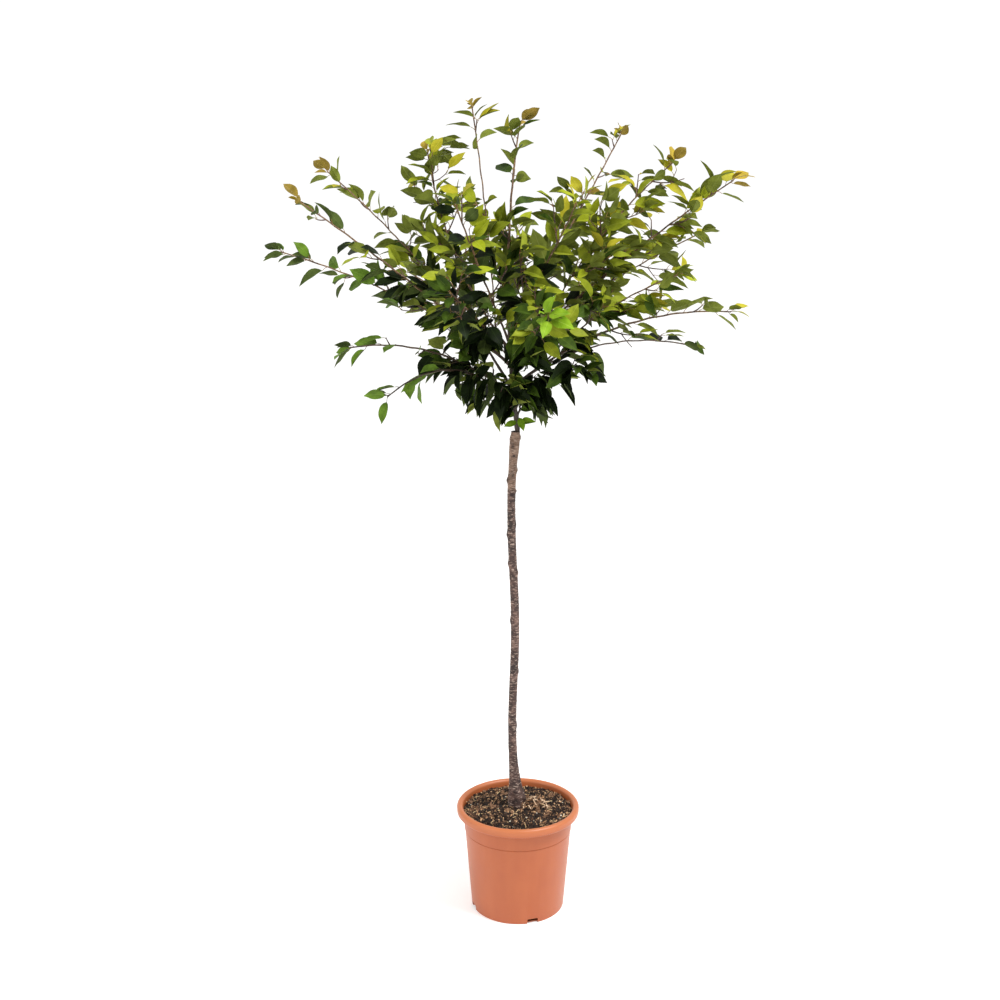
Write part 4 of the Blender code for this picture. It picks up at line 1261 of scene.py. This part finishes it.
SPRAYS, LEAVES = grow_crown()
head_shoot, head_leaves = head_tuft()
SPRAYS.append(head_shoot)
LEAVES += head_leaves
for shade in (*TONES, "fresh", "lime", "bronze"):
    print(f"{shade}: {sum(leaf.shade == shade for leaf in LEAVES)} leaves")
print("twigs:", len(SPRAYS), "leaves:", len(LEAVES))

# %% [markdown]
# Limbs and twigs are tapering tubes along those paths. Geometry Nodes sweep them: the paths come in
# as edges that know how thick they are, turn into curves, are swept with a round section and get a
# shallow relief from noise. A limb starts on its parent's centre line with a swollen collar, so that
# it grows out of the parent with no seam to see.


# %% A tree of nodes that sweeps tapering tubes
def tube_tree():
    """Turns edges with a thickness into tubes with relief."""
    kinds = {"Sides": "Int", "Relief": "Float", "PerMetre": "Float", "Finish": "Material"}
    tree, given, end = new_tree("tapering_tubes", **kinds)
    lines = add(tree, "GeometryNodeMeshToCurve", {0: given["Geometry"]})
    section = add(tree, "GeometryNodeCurvePrimitiveCircle", {"Radius": 1.0, "Resolution": given["Sides"]})
    thickness = add(tree, "GeometryNodeInputNamedAttribute", {"Name": "thickness"}, data_type="FLOAT")
    sweep = {0: lines, 1: section, "Scale": thickness, "Fill Caps": True}
    tube = add(tree, "GeometryNodeCurveToMesh", sweep)
    place = add(tree, "GeometryNodeInputPosition")
    bumps = add(tree, "ShaderNodeTexNoise", {"Vector": place, "Scale": given["PerMetre"]})
    level = add(tree, "ShaderNodeMath", {0: bumps, 1: 0.5}, operation="SUBTRACT")
    rise = add(tree, "ShaderNodeMath", {0: level, 1: given["Relief"]}, operation="MULTIPLY")
    outward = {0: add(tree, "GeometryNodeInputNormal"), "Scale": rise}
    push = add(tree, "ShaderNodeVectorMath", outward, operation="SCALE")
    moved = add(tree, "GeometryNodeSetPosition", {0: tube, "Offset": push})
    smoothed = add(tree, "GeometryNodeSetShadeSmooth", {0: moved})
    real = add(tree, "GeometryNodeRealizeInstances", {0: smoothed})
    feed(end, {0: add(tree, "GeometryNodeSetMaterial", {0: real, "Material": given["Finish"]})})
    return tree


TUBES = tube_tree()


# %% Bare points and edges
def bare_object(name, corners, edges, columns):
    """An object of bare points and edges, with columns of named values for the points."""
    mesh = bpy.data.meshes.new(name)
    mesh.from_pydata([corner[:] for corner in corners], edges, [])
    for label, kind, values in columns:
        where = "vector" if kind == "FLOAT_VECTOR" else "value"
        mesh.attributes.new(label, kind, "POINT").data.foreach_set(where, values)
    return in_scene(name, mesh)


def edges_object(name, paths):
    """An object of bare edges along (points, radii) paths, with the radii as an attribute."""
    corners, edges, thick = [], [], []
    for points, radii in paths:
        edges += [(len(corners) + i, len(corners) + i + 1) for i in range(len(points) - 1)]
        corners += points
        thick += radii
    return bare_object(name, corners, edges, [("thickness", "FLOAT", thick)])


# %% Paths of the limbs
LIMB_STEP, LEAST_STEPS, LENGTH_STEPS = 0.006, 8, 40
COLLAR_SHARE, COLLAR_LENGTH = 0.30, 0.010
NODE_SPACING, NODE_SWELL, NODE_WIDTH = 0.027, 0.14, 0.0035
ZIGZAG, UNEVEN_ZIGZAG = 0.0009, (0.6, 1.0)


def limb_tube(limb, dice):
    """The whole limb from its parent's centre line to its tip, swollen at its collar and its nodes."""
    length = path_length(limb_path(limb, 0.0, 1.0, LENGTH_STEPS))
    steps = max(LEAST_STEPS, round(length / LIMB_STEP))
    base, thin = limb.radii
    points, radii = [], []
    for i in range(steps + 1):
        share = i / steps
        if share < limb.bough:
            radius = base + (thin - base) * share / limb.bough
        else:
            radius = thin + (STEM_TIP_RADIUS - thin) * (share - limb.bough) / (1 - limb.bough)
        gone = share * length
        if limb.parent:
            radius *= 1.0 + COLLAR_SHARE * math.exp(-((gone - base) / COLLAR_LENGTH) ** 2)
        at_node = (gone % NODE_SPACING) - NODE_SPACING / 2
        radius *= 1.0 + NODE_SWELL * math.exp(-((at_node / NODE_WIDTH) ** 2))
        side = side_of(pace(limb.curve, share).normalized(), gone / NODE_SPACING * math.pi)
        zigzag = side * ZIGZAG * math.sin(math.pi * share) * dice.uniform(*UNEVEN_ZIGZAG)
        points.append(bent(limb.curve, share) + zigzag)
        radii.append(radius)
    return points, radii


def twig_tube(spray):
    """A twig's path and radii, with its foot on the centre line of what carries it."""
    first, last = spray.radii
    count = len(spray.path) - 1
    return spray.path, [first + (last - first) * i / count for i in range(count + 1)]


# %% [markdown]
# Two-year wood is golden brown, with a silvery skin that peels in thin strips and small lenticels.
# This year's growth is thinner and smoother, purplish brown on the lit side. Leaf stalks are green
# with a flush of red. All three are woody or leathery skins with a soft gloss. Towards the head of
# the stem all three are painted darker, a painted shade for the shadow deep in the crown.

# %% Finishes of limbs, twigs and stalks
DOTS_PER_M, DOTS_FROM, DOTS_FULL, DOT = 420.0, 0.62, 0.70, "#c2a98c"
CORE_SHADE_BELOW, CORE_SHADE_TOP, CORE_SHADE_SHARE, CORE_SHADE_TONE = 1.30, 1.50, 0.90, "#24170f"
OLD_WOOD = [(0.30, "#33241a"), (0.48, "#5c4127"), (0.62, "#755633"), (0.75, "#8c7658")]
NEW_WOOD = [(0.35, "#301d18"), (0.55, "#4e3226"), (0.75, "#6a4c36")]
STALK_SKIN = [(0.35, "#7d3f28"), (0.60, "#8a7a34")]


def twig_skin(name, stops, per_m, dash, roughness):
    """Bark of young wood: mottled, with pale dashes where dash is over 0, and painted shade near the head."""
    made, tree, shader, place = new_finish(name, roughness)
    mottle = add(tree, "ShaderNodeTexNoise", {"Vector": place, "Scale": per_m, "Detail": 4.0})
    tone = add(tree, "ShaderNodeValToRGB", {"Fac": mottle}, stops=stops)
    dots = add(tree, "ShaderNodeTexNoise", {"Vector": place, "Scale": DOTS_PER_M, "Detail": 1.0})
    dotted = add(tree, "ShaderNodeMapRange", {0: dots, 1: DOTS_FROM, 2: DOTS_FULL, 3: 0.0, 4: dash})
    height = add(tree, "ShaderNodeSeparateXYZ", {0: place}).outputs["Z"]
    # painted shade: low down, near the head of the stem, the skin is mixed towards a near-black brown
    core_shade_range = {0: height, 1: CORE_SHADE_BELOW, 2: CORE_SHADE_TOP, 3: CORE_SHADE_SHARE, 4: 0.0}
    core_shade = add(tree, "ShaderNodeMapRange", core_shade_range)
    for share, code in ((dotted, DOT), (core_shade, CORE_SHADE_TONE)):
        tone = add(tree, "ShaderNodeMix", {0: share, 6: tone, 7: linear(code)}, data_type="RGBA")
    bump = add(tree, "ShaderNodeBump", {"Height": dots, "Strength": 0.5, "Distance": 0.0006})
    feed(shader, {"Base Color": tone, "Normal": bump})
    return made


# %% Make limbs, twigs and leaf stalks
LIMB_NODES = [f"bough_{limb.name}" for limb in LIMBS]
MASS_NODES = [f"foliage_{limb.name}" for limb in LIMBS]
STALK_RADII = [0.00085, 0.00060, 0.00065]


def build_wood():
    dice = random.Random(SEED)
    limbs = [limb_tube(limb, dice) for limb in LIMBS]
    twigs = [twig_tube(spray) for spray in SPRAYS if spray.rank != "shoot"]
    stalks = [(leaf.stalk, STALK_RADII) for leaf in LEAVES]
    old = twig_skin("two_year_wood", OLD_WOOD, 90.0, 0.6, 0.58)
    new = twig_skin("this_years_wood", NEW_WOOD, 120.0, 0.35, 0.50)
    skin = twig_skin("leaf_stalk_skin", STALK_SKIN, 60.0, 0.0, 0.45)
    for name, paths, sides, relief, relief_per_m, finish, slot, nodes in (
        ("limbs", limbs, 12, 0.0007, 170.0, old, "cherry_bark", LIMB_NODES),
        ("twigs", twigs, 6, 0.0003, 260.0, new, "cherry_bark", MASS_NODES),
        ("leaf_stalks", stalks, 5, 0.0, 100.0, skin, "cherry_leaf", MASS_NODES),
    ):
        values = {"Sides": sides, "Relief": relief, "PerMetre": relief_per_m, "Finish": finish}
        place_piece(run_tree(name, edges_object(f"{name}_paths", paths), TUBES, **values), slot, *nodes)


build_wood()

# %% [markdown]
# A cherry leaf is oval with a short drawn-out tip and a toothed edge. It folds a little along its
# midrib and arches over its length. It is made once for each of five habits, from flat to folded, as
# a thin closed blade of unit length: an upper and an under face that share their toothed edge.

# %% Shape of a leaf
LEAF_STEPS = 9
TOOTH, TOOTH_AT, TOOTH_RISE = 0.020, 0.72, 0.001
TIP_FROM, TIP_NARROWING, ROUNDNESS = 0.72, 0.45, 0.80
BLADE_THICKNESS = 0.007
WAVES, WAVE_WIDTH, ARCH_SHORTENS = 9.0, 0.27, 0.25
LEAF_HABITS = [
    # fold in degrees, arch, twist in degrees, wave
    (14, 0.10, 6, 0.020),
    (26, 0.20, -10, 0.028),
    (8, 0.28, 12, 0.022),
    (36, 0.14, -6, 0.016),
    (58, 0.10, 4, 0.0),
]


def half_width(share):
    """Half the blade's width at a share of its length: oval, with a drawn-out tip."""
    body = math.sin(math.pi * share**ROUNDNESS) ** ROUNDNESS
    narrowing = max(0.0, (share - TIP_FROM) / (1 - TIP_FROM))
    return LEAF_WIDTH_SHARE / 2 * body * (1.0 - TIP_NARROWING * narrowing)


def leaf_point(share, side, width, habit):
    """A point of the blade: share along it, and out to one side by the width."""
    fold, arch, twist, wave = habit
    tilt = math.radians(fold)
    turn = math.radians(twist) * share
    x, z = side * width * math.cos(tilt), width * math.sin(tilt)
    z += wave * math.sin(share * WAVES + side) * (width / WAVE_WIDTH)
    x, z = x * math.cos(turn) - z * math.sin(turn), x * math.sin(turn) + z * math.cos(turn)
    return Vector((x, share * (1 - ARCH_SHORTENS * arch * share), z - arch * share * share))


# %% One leaf
def leaf_form(name, habit):
    """One leaf of unit length along +Y with its face up, and a map of it for its veins."""
    bm = bmesh.new()
    under = bm.faces.layers.bool.new("under")
    chart = bm.loops.layers.uv.new("blade")
    charted = {}

    def corner(share, side, width, drop=0.0):
        vert = bm.verts.new(leaf_point(share, side, width, habit) - Vector((0, 0, drop)))
        charted[vert] = (0.5 + side * 0.5 * min(1.0, width / (LEAF_WIDTH_SHARE / 2)), share)
        return vert

    inner = [i / LEAF_STEPS for i in range(1, LEAF_STEPS)]
    ribs = [corner(share, 0, 0.0) for share in (0.0, *inner, 1.0)]
    backs = [ribs[0], *(corner(share, 0, 0.0, BLADE_THICKNESS) for share in inner), ribs[-1]]
    for side in (1, -1):
        edge = [ribs[0], *(corner(share, side, half_width(share)) for share in inner), ribs[-1]]
        for i in range(LEAF_STEPS):
            share = (i + TOOTH_AT) / LEAF_STEPS
            tooth = corner(share, side, half_width(share) * (1 + TOOTH) + TOOTH_RISE)
            for spine, below in ((ribs, False), (backs, True)):
                rim = [spine[i], edge[i], tooth, edge[i + 1], spine[i + 1]]
                hub = spine[i + 1] if i < LEAF_STEPS - 1 else spine[i]
                for a, b in zip(rim, rim[1:]):
                    corners = list(dict.fromkeys((hub, a, b)))
                    if len(corners) < 3:
                        continue
                    if (side > 0) == below:
                        corners.reverse()
                    face = bm.faces.new(corners)
                    face[under] = below
                    for loop in face.loops:
                        loop[chart].uv = charted[loop.vert]
    return piece_from(name, bm, sharp_deg=40)


# %% [markdown]
# The upper face of a cherry leaf has a thin wax layer: a soft sheen over a green that is mottled from
# vein to vein, with a paler midrib and side veins. The underside is dull and greyish. Each colour
# class has its own upper finish, and three undersides serve them all: one for shaded leaves, one for
# young ones and one for the rest. The veins follow the chart on the blade, and all else follows the
# place on the tree.

# %% Finishes of the leaves
VEINS_PER_LEAF, VEIN_SLANT = 8.0, -0.75
RIB_EDGE, RIB_MIDDLE, RIB_SHARE = 0.026, 0.010, 0.42
VEIN_FROM, VEIN_SHARE = 0.80, 0.14
MOTTLE_PER_M, MOTTLE_LOW, MOTTLE_HIGH = 46.0, 0.34, 0.66
LEAF_SHEEN, UPPER_ROUGHNESS = 0.08, 0.48


def leaf_skin(name, dark, light, vein, roughness):
    """One face of a leaf: mottled between two greens, with the midrib and side veins drawn on."""
    made, tree, shader, place = new_finish(name, roughness, ior=1.45)
    mottle = add(tree, "ShaderNodeTexNoise", {"Vector": place, "Scale": MOTTLE_PER_M, "Detail": 4.0})
    greens = [(MOTTLE_LOW, dark), (MOTTLE_HIGH, light)]
    tone = add(tree, "ShaderNodeValToRGB", {"Fac": mottle}, stops=greens)
    chart = add(tree, "ShaderNodeSeparateXYZ", {0: add(tree, "ShaderNodeUVMap", uv_map="blade")}).outputs
    off = add(tree, "ShaderNodeMath", {0: chart["X"], 1: 0.5}, operation="SUBTRACT")
    away = add(tree, "ShaderNodeMath", {0: off}, operation="ABSOLUTE")
    rib = add(tree, "ShaderNodeMapRange", {0: away, 1: RIB_EDGE, 2: RIB_MIDDLE, 3: 0.0, 4: RIB_SHARE})
    slant = add(tree, "ShaderNodeMath", {0: away, 1: VEIN_SLANT, 2: chart["Y"]}, operation="MULTIPLY_ADD")
    wave = add(tree, "ShaderNodeMath", {0: slant, 1: VEINS_PER_LEAF * 2 * math.pi}, operation="MULTIPLY")
    sine = add(tree, "ShaderNodeMath", {0: wave}, operation="SINE")
    veins = add(tree, "ShaderNodeMapRange", {0: sine, 1: VEIN_FROM, 3: 0.0, 4: VEIN_SHARE})
    lines = add(tree, "ShaderNodeMath", {0: rib, 1: veins}, operation="MAXIMUM")
    drawn = add(tree, "ShaderNodeMix", {0: lines, 6: tone, 7: linear(vein)}, data_type="RGBA")
    bump = add(tree, "ShaderNodeBump", {"Height": lines, "Strength": 0.35, "Distance": 0.0005})
    feed(shader, {"Base Color": drawn, "Normal": bump, "Specular IOR Level": LEAF_SHEEN})
    return made


UNDER_DEEP = leaf_skin("shaded_underside", "#323e1a", "#4c5a2a", "#647240", 0.65)
UNDER_GREEN = leaf_skin("leaf_underside", "#565f20", "#747e32", "#8e9656", 0.65)
UNDER_BRONZE = leaf_skin("young_leaf_underside", "#7c6a2c", "#988238", "#ac9660", 0.60)
# painted shade and light: the classes from deep to golden are dark to light tones of the leaf green, deep
# near black for the shade inside the crown
LEAF_COLOURS = {
    # dark and light of the upper side, its veins, and the underside's finish
    "deep": ("#080f05", "#19250d", "#32421f", UNDER_DEEP),
    "green": ("#26380e", "#415616", "#5c6e32", UNDER_GREEN),
    "olive": ("#677216", "#879024", "#9ea444", UNDER_GREEN),
    "sunlit": ("#7a8414", "#969f24", "#b0b64c", UNDER_GREEN),
    "golden": ("#8a861a", "#a69e2a", "#bcb650", UNDER_GREEN),
    "fresh": ("#465f19", "#628029", "#7c9649", UNDER_DEEP),
    "lime": ("#628616", "#86a828", "#a4be54", UNDER_GREEN),
    "bronze": ("#88741c", "#a28c2a", "#b49e54", UNDER_BRONZE),
}

# %% [markdown]
# Geometry Nodes set one of the five leaves on every stalk. The points carry the pose as two vectors,
# the length as the scale and the habit as a number that picks the form. The instances are made real,
# and the faces marked as underside get their own finish.

# %% A tree of nodes that sets leaves on their stalks
LEAF_COLUMNS = {"ahead": "FLOAT_VECTOR", "facing": "FLOAT_VECTOR", "size": "FLOAT", "form": "INT"}


def foliage_tree():
    """Sets a leaf on every point. The under faces get a finish of their own."""
    tree, given, end = new_tree("leaves_on_stalks", Forms="Collection", Upper="Material", Under="Material")
    column = {}
    for name, kind in {**LEAF_COLUMNS, "under": "BOOLEAN"}.items():
        column[name] = add(tree, "GeometryNodeInputNamedAttribute", {"Name": name}, data_type=kind)
    axes = {0: column["ahead"], 1: column["facing"]}
    pose = add(tree, "FunctionNodeAxesToRotation", axes, primary_axis="Y", secondary_axis="Z")
    parts = {"Collection": given["Forms"], "Separate Children": True, "Reset Children": True}
    forms = add(tree, "GeometryNodeCollectionInfo", parts)
    set_on = {0: given["Geometry"], "Instance": forms, "Pick Instance": True, "Rotation": pose}
    set_on |= {"Instance Index": column["form"], "Scale": column["size"]}
    real = add(tree, "GeometryNodeRealizeInstances", {0: add(tree, "GeometryNodeInstanceOnPoints", set_on)})
    upper = add(tree, "GeometryNodeSetMaterial", {0: real, "Material": given["Upper"]})
    below = {0: upper, "Selection": column["under"], "Material": given["Under"]}
    feed(end, {0: add(tree, "GeometryNodeSetMaterial", below)})
    return tree


LEAVES_ON_STALKS = foliage_tree()


def points_object(name, leaves):
    """Bare points with the pose, size and form of the leaves that are to be set on them."""
    values = {"ahead": [c for leaf in leaves for c in leaf.ahead]}
    values["facing"] = [c for leaf in leaves for c in leaf.normal]
    values["size"] = [leaf.length for leaf in leaves]
    values["form"] = [leaf.form for leaf in leaves]
    columns = [(label, kind, values[label]) for label, kind in LEAF_COLUMNS.items()]
    return bare_object(name, [leaf.root for leaf in leaves], [], columns)


# %% Make the leaves, one piece for each colour class
def build_leaves():
    forms = bpy.data.collections.new("leaf_forms")
    bpy.context.scene.collection.children.link(forms)
    for number, habit in enumerate(LEAF_HABITS):
        form = leaf_form(f"leaf_form_{number}", habit)
        bpy.context.scene.collection.objects.unlink(form)
        forms.objects.link(form)
    for shade, (dark, light, vein, under) in LEAF_COLOURS.items():
        upper = leaf_skin(f"leaf_upper_{shade}", dark, light, vein, UPPER_ROUGHNESS)
        start = points_object(f"{shade}_points", [leaf for leaf in LEAVES if leaf.shade == shade])
        values = {"Forms": forms, "Upper": upper, "Under": under}
        made = run_tree(f"leaves_{shade}", start, LEAVES_ON_STALKS, **values)
        place_piece(made, "cherry_leaf", *MASS_NODES)
    for form in list(forms.objects):
        bpy.data.objects.remove(form)
    bpy.data.collections.remove(forms)


build_leaves()

# %% [markdown]
# A plain pale floor and soft light from all round, as in a white studio: one broad light high up on
# the right, a weaker one from the left and a bright even surround. The floor isn't part of the tree.

# %% Floor and light
FLOOR_SIZE, FLOOR_GLOW = 60.0, 0.34
SKY_LOW, SKY_HIGH = 1.05, 0.80
LOW_SKY_TOP, HIGH_SKY_FOOT = 0.20, 0.55


def build_floor():
    """A pale floor that is lit a little by itself, so that no edge shows against the sky."""
    bm = bmesh.new()
    bmesh.ops.create_grid(bm, x_segments=1, y_segments=1, size=FLOOR_SIZE / 2)
    made, _, shader, _ = new_finish("pale_floor", 0.85)
    feed(shader, {"Base Color": linear("#f4f3f1"), "Emission Color": linear("#ffffff")})
    feed(shader, {"Emission Strength": FLOOR_GLOW})
    piece_from("floor", bm, made)


def build_sky():
    """White near the horizon and dimmer overhead."""
    world = bpy.data.worlds.new("studio")
    world.use_nodes = True
    tree = world.node_tree
    way = add(tree, "ShaderNodeTexCoord").outputs["Generated"]
    height = add(tree, "ShaderNodeSeparateXYZ", {0: way}).outputs["Z"]
    limits = {0: height, 1: LOW_SKY_TOP, 2: HIGH_SKY_FOOT, 3: SKY_LOW, 4: SKY_HIGH}
    strength = add(tree, "ShaderNodeMapRange", limits)
    feed(tree.nodes["Background"], {"Color": linear("#ffffff"), "Strength": strength})
    bpy.context.scene.world = world


def soft_light(name, place, target, size, watts):
    """A square lamp that looks at its target."""
    lamp = bpy.data.lights.new(name, "AREA")
    lamp.shape = "SQUARE"
    lamp.size = size
    lamp.energy = watts
    made = in_scene(name, lamp)
    made.location = place
    made.rotation_euler = (Vector(target) - Vector(place)).to_track_quat("-Z", "Y").to_euler()


build_floor()
build_sky()
soft_light("key", (2.2, -1.3, 4.6), (0, 0, 1.4), size=1.6, watts=200.0)
soft_light("fill", (-3.0, -2.0, 2.2), (0, 0, 1.0), size=2.4, watts=32.0)
bpy.context.scene.view_settings.view_transform = "Standard"
